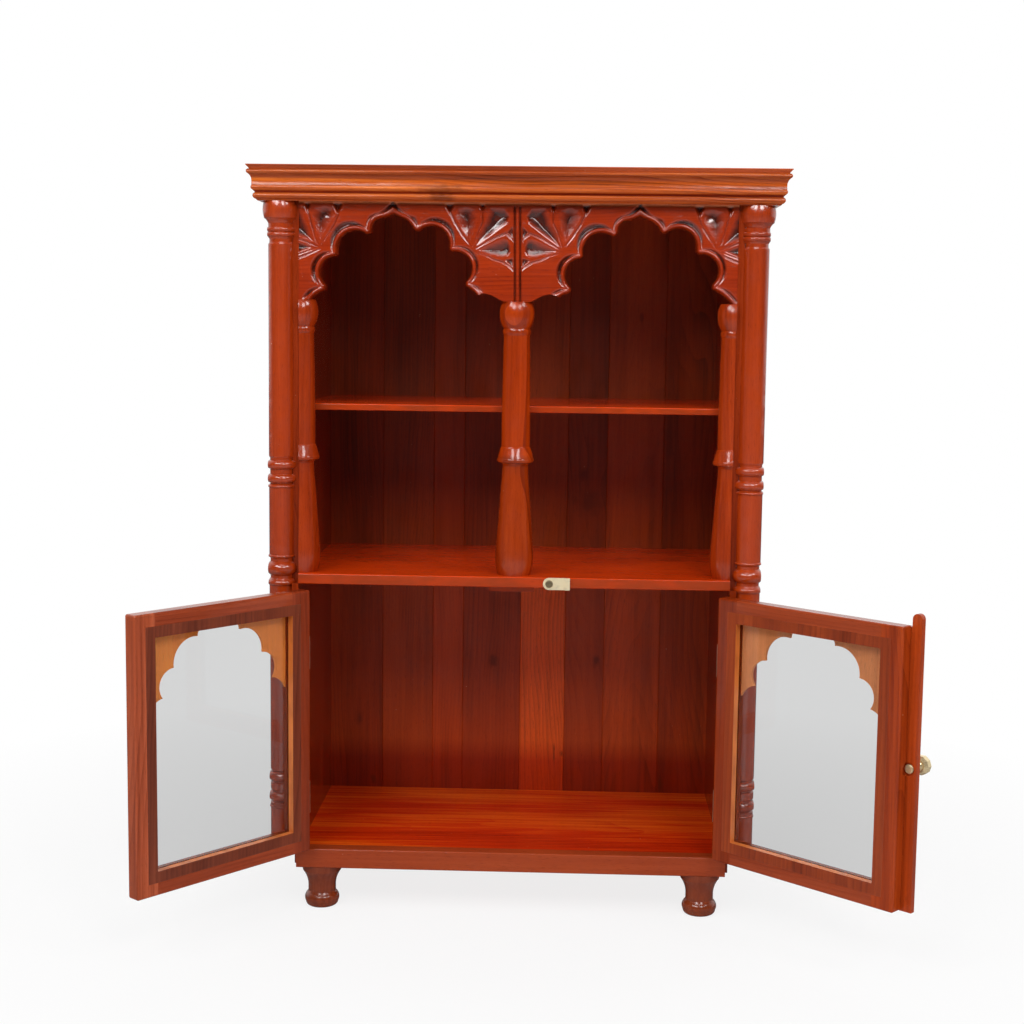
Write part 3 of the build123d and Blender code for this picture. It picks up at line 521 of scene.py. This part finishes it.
def doors():
    """Stained stiles, rails and beads, and raw wood where the spandrels were cut."""
    for side, angle, hinge_tone, lock_tone, bead_tone, raw_tone in DOORS:
        shift = len(side)
        for part, stain, seed in (("hinge_stile", hinge_tone, 81), ("lock_stile", lock_tone, 82)):
            made = wood(side + "_" + part, "z", *shades(*stain, 0.26), seed=seed + shift, figure=0.45,
                        blotch=0.8, streaks=0.3)
            coat(side + "_door_" + part, made)
        rail = wood(side + "_rail_wood", angle, *shades(156, 62, 28, 0.26), seed=86 + shift,
                    figure=0.35)
        coat(side + "_door_top_rail", rail)
        coat(side + "_door_bottom_rail", rail)
        through = (-math.sin(angle), math.cos(angle), 0)
        # painted light: the beads' sides, such as their inner edges by the glass, take a pale lit
        # orange
        beads = wood(side + "_bead_wood", "z", *shades(*bead_tone, 0.3), seed=91, gloss=0.36,
                     edge=(through, tone(224, 124, 54)))
        coat(side + "_door_glazing_beads", beads)
        raw = wood(side + "_raw_wood", "z", *shades(*raw_tone, 0.12), seed=94, figure=0.2, gloss=0.6,
                   polish=0.15)
        coat(side + "_door_arch_spandrels", raw)
    coat("meeting_strip", wood("strip_wood", "z", *shades(178, 66, 20, 0.35), seed=97, figure=0.35))
    pane = glass("float_glass")
    coat("left_door_glass", pane)
    coat("right_door_glass", pane)


def dress():
    """Materials of the nodes that stay as they are."""
    back_planks()
    turned_work()
    doors()
    upright = wood("side_wood", "z", *shades(140, 44, 10), seed=11, figure=0.3, polish=0.25)
    for side in ("left", "right"):
        coat("side_panel_" + side, upright)
    # painted light: the tops keep the bright, deep orange of the light in the bays, and faces that
    # don't look up take a plainer tone
    face_up = (0, 0, 1)
    level = shades(212, 62, 5, 0.25)
    boards = ("waist_shelf", "upper_shelf", "ceiling_board", "door_stop", "base_back_rail")
    for seed, name in enumerate(boards, start=61):
        coat(name, wood(name + "_wood", "x", *level, seed=seed, figure=0.05, blotch=0.5,
                        broad=(1.6, 10), streaks=0.07, edge=(face_up, tone(156, 55, 18))))
    # painted light on the floor board too: a bright, deep orange top and plainer sides
    stain = tone(136, 20, 0), tone(204, 46, 3), tone(244, 108, 20)
    coat("floor_board", wood("floor_wood", "x", *stain, seed=65, figure=0.14, blotch=1.15,
                             broad=(1.3, 9), streaks=0.16, gap=9, edge=(face_up, tone(186, 74, 22))))
    coat("base_front_board", wood("base_wood", "x", *shades(158, 62, 26, 0.15), seed=68, figure=0.2,
                                  blotch=0.4))
    bearer = wood("bearer_wood", "y", tone(92, 20, 6), tone(150, 44, 12), tone(196, 84, 30), seed=79)
    coat("foot_bearer_left", bearer)
    coat("foot_bearer_right", bearer)
    brass = metal("pale_brass", (0.90, 0.76, 0.50), 0.36, dull=0.8, bare=0.3)
    coat("turn_button", brass)
    coat("button_screw", metal("dark_screw_steel", (0.42, 0.33, 0.20), 0.4))
    bright_brass = metal("bright_brass", (0.96, 0.78, 0.46), 0.2, dull=0.8, bare=0.6)
    coat("knob", bright_brass)
    coat("knob_screw", bright_brass)
    steel = metal("brassed_steel", (0.5, 0.42, 0.3), 0.35)
    for side in ("left", "right"):
        coat(side + "_door_hinge_leaves", steel)
        coat("frame_hinge_leaves_" + side, steel)
        coat("hinge_pins_" + side, steel)


# ---------------------------------------- cornice
MOULDED_SHARP = 42                   # edges sharper than this, in degrees, are shaded as edges
CARVED_SHARP = 60
CORNICE_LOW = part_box("cornice_front")[0].z / MM
CORNICE_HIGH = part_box("cornice_front")[1].z / MM
CORNICE_LIFT = 1.6                   # the front lip stands above the flat underside
CORNICE_SEAT = 3.4                   # width of the underside that rests on the posts
# outline from the bottom up: projection, and height on a scale from the lip to the top;
# a point is a straight run, a pair of points is an arc
CORNICE_START = (4.6, 0.0)
CORNICE_STEPS = [
    ((8.1, 4.0), (5.8, 7.8)),                    # bottom bead
    (5.9, 9.0),
    (8.4, 11.2),
    ((10.0, 13.8), (9.2, 16.4)),                 # small bead
    (9.1, 23.4),                                 # fascia
    ((10.2, 27.4), (13.5, 31.0)),                # cove
    ((14.6, 33.0), (12.6, 36.2)),                # nose
]
# painted light and shade at each height of that scale: shade in the groove, on the cove and under the
# lip, and a pale sheen on the small bead
CORNICE_LIGHT_BANDS = [
    (0.0, (0.8, 0.7, 0.9)), (2.5, (0.6, 0.5, 0.6)), (5.4, (0.86, 0.84, 0.8)),
    (7.2, (0.74, 0.68, 0.7)), (8.2, (0.34, 0.14, 0.12)), (10.2, (0.42, 0.18, 0.14)),
    (11.2, (0.9, 0.9, 1.0)), (15.5, (1.0, 1.05, 1.3)), (17.6, (0.6, 0.5, 0.6)),
    (19.5, (0.95, 0.95, 0.9)), (24.5, (0.95, 0.95, 0.9)), (26.5, (0.62, 0.55, 0.8)),
    (32.4, (0.62, 0.55, 0.8)), (34.0, (0.8, 0.78, 0.9)), (36.2, (0.62, 0.56, 0.6)),
]
CORNICE_KNOTS = [((-88, FRONT - 8, 886), 6, 30, 0.5), ((-92, FRONT - 8, 877), 4, 18, 0.6)]
CORNICE_STEP = 7                                 # spacing of its cross-sections
CORNICE_UNEVEN = 0.32


def lifted(up):
    """Height above the cornice's underside, from the outline's own scale."""
    high = CORNICE_HIGH - CORNICE_LOW
    return CORNICE_LIFT + up * (high - CORNICE_LIFT) / high


def loft(name, rows):
    """A closed mesh through rows of points in mm, with its first and last row as end faces."""
    wide = len(rows[0])
    faces = []
    for start in range(0, (len(rows) - 1) * wide, wide):
        for j in range(wide):
            a, b = start + j, start + (j + 1) % wide
            faces.append((a, b, b + wide, a + wide))
    faces.append(tuple(range(wide))[::-1])
    faces.append(tuple(range((len(rows) - 1) * wide, len(rows) * wide)))
    mesh = bpy.data.meshes.new(name)
    mesh.from_pydata([(x * MM, y * MM, z * MM) for row in rows for x, y, z in row], [], faces)
    return mesh


def cornice_run(spots, seed):
    """One closed length of moulding; spots gives the plan place at a projection and a share of it."""
    shape = path_points([CORNICE_START] + CORNICE_STEPS, 9)
    profile = [(0.0, 0.0), (CORNICE_SEAT, 0.0)] + [(out, lifted(up)) for out, up in shape]
    profile.append((0.0, CORNICE_HIGH - CORNICE_LOW))
    long = math.dist(spots(0, 0), spots(0, 1))
    count = int(long / CORNICE_STEP)
    rows = []
    for k in range(count + 1):
        row = []
        for out, up in profile:
            swell = noise.noise((k * 0.11, up * 0.09, seed))
            swell += 0.5 * noise.noise((k * 0.4, up * 0.2, seed + 9))
            out = out + (CORNICE_UNEVEN * swell if out > 0 else 0)
            row.append((*spots(out, k / count), CORNICE_LOW + up))
        rows.append(row)
    return loft("cornice", rows)


def cornice():
    """Three mouldings, mitred at the front corners."""
    back = FRONT + DEPTH
    # painted light and shade of the moulding, by height
    bands = [(CORNICE_LOW + lifted(up), tint) for up, tint in CORNICE_LIGHT_BANDS]
    stain = tone(104, 40, 10), tone(192, 84, 26), tone(232, 124, 46)
    kind = {"figure": 0.4, "blotch": 0.9, "gap": 3.4, "bands": bands}
    front = wood("cornice_wood", "x", *stain, seed=75, pith=(150, 20), knots=CORNICE_KNOTS, **kind)
    side = wood("cornice_side_wood", "y", *stain, seed=76, **kind)

    def along_front(out, share):
        reach = POST_FACE + out
        return reach - 2 * reach * share, FRONT - out

    def along_right(out, share):
        return POST_FACE + out, back - (DEPTH + out) * (1 - share)

    def along_left(out, share):
        return -POST_FACE - out, back - (DEPTH + out) * share

    for name, spots, material, seed in (("front", along_front, front, 1.0),
                                        ("right", along_right, side, 21.0),
                                        ("left", along_left, side, 41.0)):
        piece(cornice_run(spots, seed), "cornice_moulding_" + name, "carcass", material,
              ("cornice_" + name,), MOULDED_SHARP)


# ---------------------------------------- top board
CAP_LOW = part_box("top_board")[0].z / MM
CAP_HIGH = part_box("top_board")[1].z / MM
CAP_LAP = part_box("top_board")[1].x / MM - POST_FACE
CAP_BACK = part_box("top_board")[1].y / MM
# outline of its shown edges from the bottom up: how far they stand in from the lap, and height
CAP_STEPS = [(3.6, 0.0), (3.3, 1.2), (0.8, 3.9), (0.0, 4.6), (0.4, CAP_HIGH - CAP_LOW)]
CAP_UNEVEN = 0.2
CAP_PLACES = 181                     # points round the shown edges


def cap_place(out, along):
    """Plan place on the board's edge: along runs from 0 to 3 over its left, front and right sides."""
    half, front = POST_FACE + out, FRONT - out
    corners = ((-half, CAP_BACK), (-half, front), (half, front), (half, CAP_BACK))
    side = min(int(along), 2)
    (ax, ay), (bx, by) = corners[side:side + 2]
    return ax + (bx - ax) * (along - side), ay + (by - ay) * (along - side)


def cap_board():
    """Thin board over the cornice, whose shown edges lean in towards the moulding."""
    rows = []
    for inset, up in CAP_STEPS:
        row = []
        for along in np.linspace(0, 3, CAP_PLACES):
            swell = CAP_UNEVEN * (noise.noise((along * 7, up * 0.1, 61)) - 1)
            row.append((*cap_place(CAP_LAP - inset + swell, along), CAP_LOW + up))
        rows.append(row)
    material = wood("top_wood", "x", *shades(184, 80, 38, 0.2), seed=77, figure=0.25)
    piece(loft("top_board", rows), "shaped_top_board", "carcass", material,
          ("top_board",), MOULDED_SHARP)


# ---------------------------------------- carved arch panel
ARCH_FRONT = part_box("arch_panel")[0].y / MM
ARCH_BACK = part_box("arch_panel")[1].y / MM
ARCH_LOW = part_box("arch_panel")[0].z / MM
ARCH_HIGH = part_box("arch_panel")[1].z / MM
ARCH_X = 147.5                       # centre line of each arch
CARVE_STEP = 0.66                    # spacing of the carved surface's points
BEAD_WIDE = 5.0                      # rim bead round each arch, from its outer edge to the opening
BEAD_TOP = 1.6                       # its crown, from the outer edge
BEAD_RISE = 0.9                      # height of the crown above the plain ground
BEAD_SHOULDER = 1.3                  # how far its outer side falls
BEAD_ROLL = 6.0                      # how far it rolls back towards the opening
TIP_FILL = 3.4                       # the opening is blunter than the bead at the tip
TIP_REACH = 9.0
GROUND_Z = 869.9                     # above this the ground is cut back, under the cornice
GROUND_CUT = 1.4
GROUND_SLOPE = 0.9                   # height of the step down to it
HOLLOW_DEEP = 4.8                    # hollows behind the rim beads
HOLLOW_SLOPES = (3.0, 1.05)          # their walls, at the bead and at the far edge
STAIN_SHADE_FROM = 0.3                     # depth at which the dark stain and painted shade start to gather
STAIN_SHADE_FULL = 2.1                     # and how much deeper it is full
BEAD_SHADE_FROM = 1.2                    # painted shade on the beads, where they roll back into the opening, starts this far behind the crown
KNIFE_UNEVEN = 0.22                  # unevenness of the whole carved face
KNIFE_WAVE = 16                      # length of its waves
KNIFE_GRID = 8                       # it is worked out at every so many points
RIB_HALF = 3.15                      # middle rib, to the middle of its grooves
RIB_FOOT = (0.5, 769)                # the rib leans a little to the left from here
RIB_LEAN = 0.012
RIB_GROOVE = 1.7
RIB_DEEP = 2.6
RIB_STEEP = 1.4                      # more than 1, so the grooves have a flat floor

# The beads' outer edge about each arch's centre line, from the tip down its left (-1) and right (1)
# side: a pair is an arc, given by a point that it passes through and its end. One template marked
# out both arches, so both lean the same way; only their feet differ.
ARCH_TIP = (-2.3, 867.6)
ARCH_SIDES = {
    -1: [((-9.0, 862.0), (-17.0, 858.9)), ((-28.8, 852.6), (-33.0, 840.0)),
         ((-64.2, 838.4), (-74.0, 813.2)), ((-94.3, 796.5), (-88.0, 771.8))],
    1: [((3.6, 862.8), (10.0, 859.4)), ((20.6, 852.8), (27.0, 844.0)),
        ((60.8, 844.4), (70.2, 820.2)), ((95.2, 806.4), (90.0, 777.4))],
}
# foot of each side where it meets a post (True) or the middle pendant (False)
ARCH_FEET = {
    (-1, True): ((-100.6, 764.5), (-107.0, 756.4)),
    (1, True): ((107.5, 765.2), (114.4, 756.4)),
    (-1, False): ((-96.6, 768.4), (-103.4, 763.8)),
    (1, False): ((99.9, 770.1), (104.6, 763.8)),
}
# the cut under the pendant, right half
PENDANT = [(52, 750), (50, 763), (46, 764.2), (39.5, 766), (31.5, 764.3), (25, 761), (18, 757.2),
           (12, 756.2), (12, 750)]

# far edge of the hollows behind the beads, closed across the opening
HOLLOWS = {
    -1: [
        [(-33.6, 842.5), ((-30.8, 855.6), (-22.0, 860.0)), ((-13.4, 864.4), (-5.5, 874.5)),
         (-2.3, 874.5), (-2.3, 850)],
        [(-34.0, 841.5), ((-64.6, 847.6), (-75.6, 815.0))],
        [(-74.5, 813.2), ((-99.6, 801.6), (-92.0, 774.6))],
    ],
    1: [
        [(27.6, 845.0), ((27.2, 852.4), (19.6, 857.4)), ((9.0, 863.2), (1.5, 874.5)),
         (-2.3, 874.5), (-2.3, 850)],
        [(28.6, 845.6), ((62.6, 851.4), (71.6, 822.0))],
        [(71.2, 821.2), ((98.6, 810.4), (92.4, 778.6))],
    ],
}
FOOT_HOLLOWS = {
    (-1, True): [(-90.0, 772.0), ((-105.2, 766.4), (-111.5, 756.4))],
    (1, True): [(92.0, 777.0), ((108.5, 769.5), (117.6, 756.4))],
    (-1, False): [(-90.0, 772.0), ((-100.4, 771.0), (-107.6, 764.6))],
    (1, False): [(91.4, 778.0), ((101.8, 772.8), (108.4, 765.4))],
}

# chip-carved hollows of the fans, right half: corners with the slope of the wall that follows each
CENTRE_FAN = [
    # upright petal, a little dished
    [(57, 827, 0.24), (50, 845, 0.24), (47.6, 857, 0.2), (51, 865, 0.3), (61, 867.6, 0.3),
     (72, 865.4, 0.3), (76, 858, 0.2), (69.4, 844, 0.24)],
    # diagonal petal
    [(50.5, 821.0, 0.5), (26.7, 838.1, 0.5), (13.0, 848.5, 0.9), (9.8, 858.0, 0.7),
     (16.5, 866.4, 0.45), (33.5, 867.0, 0.3), (40.4, 850.0, 0.34), (48.5, 834.0, 0.5)],
    # teardrop petal
    [(49.0, 816.8, 0.38), (27.2, 827.0, 0.38), (17.5, 830.8, 0.5), (11.8, 829.2, 0.9),
     (8.6, 822.0, 0.9), (8.2, 815.5, 0.9), (11.8, 810.4, 0.55), (20.0, 809.2, 0.55),
     (31.5, 811.6, 0.55)],
    # chips between the petals and the rib
    [(4.8, 846.0, 1.3), (13.0, 838.6, 1.3), (5.0, 829.5, 1.3)],
    [(4.8, 808.5, 1.3), (15.5, 805.6, 1.0), (9.0, 799.2, 1.0), (4.8, 795.5, 1.3)],
]
OUTER_FAN = [
    # upright petal
    [(237, 828, 0.24), (244.4, 845, 0.24), (247.8, 857, 0.2), (244.4, 865, 0.3), (231, 867.6, 0.3),
     (220, 865.4, 0.3), (218, 857, 0.2), (226.6, 843, 0.24)],
    # broad chip beside the post
    [(244.8, 825.2, 0.5), (264.4, 832.2, 3.0), (264.4, 866.5, 2.0), (261.5, 866.5, 0.4),
     (255.5, 853.0, 0.4), (249.3, 838.0, 0.4)],
    # arrow
    [(246.0, 818.6, 0.8), (264.0, 824.8, 2.0), (264.0, 811.6, 0.8)],
]
# scoops at the petals' tops: centre, half width, half height and depth
SCOOPS = [(61.8, 858.8, 9.8, 8.6, 2.3), (230.8, 858.4, 9.8, 8.8, 2.3)]
# V grooves of the fans: points from the hub out, half width and depth
FAN_LINES = [
    ([(51.0, 818.2), (26.0, 832.8), (14.5, 837.0), (8.0, 832.4), (4.2, 826.5)], 1.3, 1.5),
    ([(50.0, 813.8), (37.0, 810.5), (27.5, 805.8), (17.5, 803.2), (9.0, 798.0), (4.2, 793.2)],
     1.3, 1.5),
    ([(53.5, 821.0), (47.2, 838.5), (41.8, 850.5), (42.2, 862.0)], 1.3, 1.7),
    ([(57.0, 822.5), (66.5, 835.0), (74.5, 848.0), (80.5, 861.0)], 1.3, 1.7),
    ([(58.6, 826.0), (62.4, 856.0)], 1.6, 1.4),
    ([(238.5, 821.0), (242.3, 828.0), (247.0, 845.0), (251.5, 862.0)], 1.3, 1.7),
    ([(236.0, 821.5), (228.0, 833.0), (219.8, 846.0), (215.0, 857.5)], 1.3, 1.7),
    ([(236.2, 829.0), (231.8, 856.0)], 1.6, 1.4),
    ([(236.5, 816.6), (263.8, 805.2)], 1.3, 1.7),
    ([(241.5, 819.8), (264.0, 828.6)], 1.2, 1.5),
    ([(241.5, 817.4), (264.0, 809.6)], 0.9, 1.1),
]
# notches between the rounded tops, under the cornice
NOTCHES = [
    [(81.0, 857.4, 0.9), (89.0, 871.5, 3.0), (75.0, 871.5, 1.2)],
    [(42.4, 859.6, 0.9), (47.6, 871.5, 3.0), (37.0, 871.5, 0.9)],
    [(215.4, 855.4, 0.9), (223.6, 871.5, 3.0), (208.0, 871.5, 0.9)],
    [(252.0, 858.0, 0.9), (258.0, 871.5, 3.0), (246.6, 871.5, 0.9)],
]
CHIPS = [(CENTRE_FAN, 4.4), (OUTER_FAN, 4.2), (NOTCHES, 3.6)]      # with how deep they may go


def arc_points(start, through, end, count=20):
    """Points of the arc through three points, without the start."""
    ax, az = start
    bx, bz = through
    cx, cz = end
    turn = 2 * (ax * (bz - cz) + bx * (cz - az) + cx * (az - bz))
    sa, sb, sc = ax * ax + az * az, bx * bx + bz * bz, cx * cx + cz * cz
    x = (sa * (bz - cz) + sb * (cz - az) + sc * (az - bz)) / turn
    z = (sa * (cx - bx) + sb * (ax - cx) + sc * (bx - ax)) / turn
    first = math.atan2(az - z, ax - x)
    middle = math.atan2(bz - z, bx - x)
    last = math.atan2(cz - z, cx - x)
    radius = math.hypot(ax - x, az - z)
    sweep = (last - first) % (2 * math.pi)
    if (middle - first) % (2 * math.pi) > sweep:
        sweep -= 2 * math.pi
    angles = [first + sweep * (k + 1) / count for k in range(count)]
    return [(x + radius * math.cos(a), z + radius * math.sin(a)) for a in angles]


def path_points(steps, count=20):
    """Points of a path: a point is a straight run, a pair of points an arc."""
    points = [steps[0]]
    for step in steps[1:]:
        if isinstance(step[0], tuple):
            points += arc_points(points[-1], step[0], step[1], count)
        else:
            points.append(step)
    return points


def segment_distance(x, z, a, b):
    """Distance of the points to one straight segment."""
    ax, az = a
    dx, dz = b[0] - ax, b[1] - az
    share = np.clip(((x - ax) * dx + (z - az) * dz) / (dx * dx + dz * dz), 0, 1)
    return np.hypot(x - ax - share * dx, z - az - share * dz)


def inside(x, z, outline):
    """Which points lie inside a closed outline."""
    found = np.zeros(x.shape, bool)
    for (ax, az), (bx, bz) in zip(outline, outline[1:] + outline[:1]):
        if az == bz:
            continue
        crosses = ((az > z) != (bz > z)) & (x < (bx - ax) * (z - az) / (bz - az) + ax)
        found ^= crosses
    return found


def path_distance(x, z, path):
    """Distance of the points to the nearest segment of a path."""
    distance = np.full(x.shape, np.inf)
    for a, b in zip(path, path[1:]):
        distance = np.minimum(distance, segment_distance(x, z, a, b))
    return distance


def clearance(x, z, outline):
    """Signed distance to a closed outline, positive outside it."""
    distance = path_distance(x, z, outline)
    return np.where(inside(x, z, outline), -distance, distance)


def bead_margin(u, z, arch):
    """Signed distance to one arch's bead edge, positive in the wood; arch is -1 or 1."""
    whole = []
    for side in (-1, 1):
        half = path_points([ARCH_TIP] + ARCH_SIDES[side] + [ARCH_FEET[side, side == arch]])
        half.append((half[-1][0], ARCH_LOW - 20))
        whole = half[:0:-1] + half[:1] if side == -1 else whole + half[1:]
    return clearance(u, z, whole)


def chip(x, z, corners, deepest):
    """Depth of one chip-carved hollow, whose walls slope in from its outline."""
    outline = [corner[:2] for corner in corners]
    depth = np.full(x.shape, deepest)
    for a, b, corner in zip(outline, outline[1:] + outline[:1], corners):
        depth = np.minimum(depth, segment_distance(x, z, a, b) * corner[2])
    return np.where(inside(x, z, outline), depth, 0)


def groove(x, z, points, half, deep):
    """Depth of a V groove along a path that runs out to nothing at its first point."""
    reach = path_distance(x, z, points)
    from_start = np.hypot(x - points[0][0], z - points[0][1]) / math.dist(points[0], points[-1])
    wide = half * np.clip(0.35 + from_start, 0, 1)
    return deep * np.clip(1 - reach / wide, 0, 1) * np.clip(0.5 + from_start, 0, 1)


def scoop(x, z, centre_x, centre_z, wide, tall, deep):
    """Depth of a round gouge cut."""
    reach = ((x - centre_x) / wide) ** 2 + ((z - centre_z) / tall) ** 2
    return deep * np.clip(1 - reach, 0, 1)


def rolled_bead(into, wide):
    """Depth of the rim bead's surface at a distance into the opening from its outer edge."""
    outer = np.clip((BEAD_TOP - into) / BEAD_TOP, 0, 1)
    inner = np.clip((into - BEAD_TOP) / (wide - BEAD_TOP), 0, 1)
    return BEAD_SHOULDER * outer ** 2 + BEAD_ROLL * inner ** 2.3 - BEAD_RISE


def smoothed(field, passes):
    """Soften a field a little, as sanding and lacquer do."""
    for _ in range(passes):
        padded = np.pad(field, 1, mode="edge")
        field = (padded[:-2, 1:-1] + padded[2:, 1:-1] + padded[1:-1, :-2] + padded[1:-1, 2:]
                 + 4 * padded[1:-1, 1:-1]) / 8
    return field


def rim_hollows(x, z, centre, arch, margin):
    """Depth of the gouged hollows that follow one arch's bead."""
    depth = np.zeros(x.shape)
    u = x - centre
    near_slope, far_slope = HOLLOW_SLOPES
    for side in (-1, 1):
        for steps in HOLLOWS[side] + [FOOT_HOLLOWS[side, side == arch]]:
            outline = path_points(steps, 14)
            far = [p for p in outline if p[0] != ARCH_TIP[0]]
            cut = np.minimum(margin * near_slope, path_distance(u, z, far) * far_slope)
            cut = np.minimum(cut, HOLLOW_DEEP)
            depth = np.maximum(depth, np.where(inside(u, z, outline) & (margin > 0), cut, 0))
    return depth


def carved_depth(x, z):
    """Depth of the carving below the face, how much dark stain and painted shade each point takes, and
    the margin of wood left.
    """
    depth = np.zeros(x.shape)
    across = np.abs(x)
    keep = clearance(across, z, PENDANT)
    beads = []
    for arch in (-1, 1):
        centre = arch * ARCH_X
        margin = bead_margin(x - centre, z, arch)
        tip = ((x - centre - ARCH_TIP[0]) ** 2 + (z - ARCH_TIP[1]) ** 2) / TIP_REACH ** 2
        wide = BEAD_WIDE + TIP_FILL * np.exp(-tip)
        keep = np.minimum(keep, margin + wide)
        depth = np.maximum(depth, rim_hollows(x, z, centre, arch, margin))
        beads.append((margin, wide))
    for hollows, deepest in CHIPS:
        for corners in hollows:
            depth = np.maximum(depth, chip(across, z, corners, deepest))
    for cut in SCOOPS:
        depth = np.maximum(depth, scoop(across, z, *cut))
    for points, half, deep in FAN_LINES:
        depth = np.maximum(depth, groove(across, z, points, half, deep))
    rib_middle = RIB_FOOT[0] - RIB_LEAN * (z - RIB_FOOT[1])
    rib = np.abs(np.abs(x - rib_middle) - RIB_HALF)
    rib_cut = RIB_DEEP * np.clip(RIB_STEEP - RIB_STEEP * rib / RIB_GROOVE, 0, 1)
    depth = np.maximum(depth, np.where(z < GROUND_Z, rib_cut, 0))
    depth = np.maximum(depth, GROUND_CUT * np.clip((z - GROUND_Z) / GROUND_SLOPE, 0, 1))
    bare = np.where(z < GROUND_Z, STAIN_SHADE_FROM, GROUND_CUT)
    stain_and_shade = np.clip((depth - bare) / STAIN_SHADE_FULL, 0, 1)
    # each bead darkens as it rolls back into the opening: painted shade
    for margin, wide in beads:
        into = -margin
        roll = into > 0
        depth = np.where(roll, rolled_bead(into, wide), depth)
        under = np.clip((into - BEAD_TOP - BEAD_SHADE_FROM) / (wide - BEAD_TOP), 0, 1)
        stain_and_shade = np.where(roll, under, stain_and_shade)
    return smoothed(depth, 2), smoothed(stain_and_shade, 2), keep


def uneven(xs, zs):
    """Gentle noise over the face, worked out on a coarse grid and blended between its points."""
    coarse = np.array([[noise.noise((a / KNIFE_WAVE, b / KNIFE_WAVE, 3.0)) for a in xs[::KNIFE_GRID]]
                       for b in zs[::KNIFE_GRID]])
    rows = np.linspace(0, coarse.shape[0] - 1.001, len(zs))
    columns = np.linspace(0, coarse.shape[1] - 1.001, len(xs))
    r, c = rows.astype(int), columns.astype(int)
    fr, fc = (rows - r)[:, None], (columns - c)[None, :]
    return (coarse[r][:, c] * (1 - fr) * (1 - fc) + coarse[r + 1][:, c] * fr * (1 - fc)
            + coarse[r][:, c + 1] * (1 - fr) * fc + coarse[r + 1][:, c + 1] * fr * fc)


def arch_panel():
    """The carved board: a fine carved front, cut to the arches' outlines, with edges and back."""
    xs = np.arange(-WALL_IN, WALL_IN + CARVE_STEP / 2, CARVE_STEP)
    xs[-1] = WALL_IN
    zs = np.append(np.arange(ARCH_LOW, CORNICE_LOW + 1, CARVE_STEP), ARCH_HIGH)
    x, z = np.meshgrid(xs, zs)
    depth, stain_and_shade, margin = carved_depth(x, z)
    y = ARCH_FRONT + depth + KNIFE_UNEVEN * (uneven(xs, zs) + 0.6)

    points, tint, index = [], [], {}

    def grid_point(j, i):
        key = (j, i)
        if key not in index:
            index[key] = len(points)
            points.append((x[j, i], y[j, i], z[j, i]))
            tint.append(stain_and_shade[j, i])
        return index[key]

    def edge_point(j0, i0, j1, i1):
        if (j1, i1) < (j0, i0):
            j0, i0, j1, i1 = j1, i1, j0, i0
        key = (j0, i0, j1, i1)
        if key not in index:
            a, b = margin[j0, i0], margin[j1, i1]
            t = a / (a - b)
            index[key] = len(points)
            points.append(tuple((1 - t) * g[j0, i0] + t * g[j1, i1] for g in (x, y, z)))
            tint.append((1 - t) * stain_and_shade[j0, i0] + t * stain_and_shade[j1, i1])
        return index[key]

    solid = margin >= 0
    faces = []
    for j in range(len(zs) - 1):
        for i in range(len(xs) - 1):
            ring = ((j, i), (j, i + 1), (j + 1, i + 1), (j + 1, i))
            wet = [solid[p] for p in ring]
            if all(wet):
                faces.append([grid_point(*p) for p in ring])
            elif any(wet):
                face = []
                for k in range(4):
                    here, there = ring[k], ring[(k + 1) % 4]
                    if wet[k]:
                        face.append(grid_point(*here))
                    if wet[k] != wet[(k + 1) % 4]:
                        face.append(edge_point(*here, *there))
                if len(face) > 2:
                    faces.append(face)
    return close_panel(points, faces, tint)


def close_panel(points, faces, tint):
    """Give a carved front its edge walls and a flat back."""
    used = dict.fromkeys(edge for face in faces for edge in zip(face, face[1:] + face[:1]))
    rim = [(a, b) for a, b in used if (b, a) not in used]
    after = dict(rim)
    loop = [rim[0][0]]
    while after[loop[-1]] != loop[0]:
        loop.append(after[loop[-1]])
    back = {}
    for k in loop:
        back[k] = len(points)
        points.append((points[k][0], ARCH_BACK, points[k][2]))
        tint.append(0.0)
    for a, b in zip(loop, loop[1:] + loop[:1]):
        faces.append([b, a, back[a], back[b]])
    faces.append([back[k] for k in reversed(loop)])
    mesh = bpy.data.meshes.new("carved_arch_panel")
    mesh.from_pydata([tuple(c * MM for c in p) for p in points], [], faces)
    shade = mesh.attributes.new("stain_and_shade", "FLOAT", "POINT")
    shade.data.foreach_set("value", np.array(tint, np.float32))
    return mesh


def piece(mesh, name, body, material, replaced, sharp):
    """Put a finished mesh in the scene, riding on its body in place of CAD nodes."""
    mesh.materials.append(material)
    made = bpy.data.objects.new(name, mesh)
    bpy.context.scene.collection.objects.link(made)
    mesh.shade_smooth()
    mesh.set_sharp_from_angle(angle=math.radians(sharp))
    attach(made, body)
    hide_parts(*replaced)


def carve():
    """The arch panel, with dark stain and painted shade in its hollows, and painted light on the strip
    under the cornice.
    """
    # painted light: the strip under the cornice, which the cornice shades, is made many times brighter
    material = wood("carved_wood", "x", *shades(160, 46, 9, 0.28), seed=71, figure=0.28, blotch=0.45,
                    gap=3.6, pith=(150, 16), stain_and_shade=tone(60, 17, 9), polish=1.0, gloss=0.12,
                    above=(GROUND_Z + 1.2, (2.4, 9.0, 36.0)))
    piece(arch_panel(), "carved_arch_panel", "carcass", material, ("arch_panel",),
          CARVED_SHARP)


# ---------------------------------------- put it together
bpy.context.scene.view_settings.view_transform = "Standard"
camera()
world()
lights()
floor()
dress()
cornice()
cap_board()
carve()
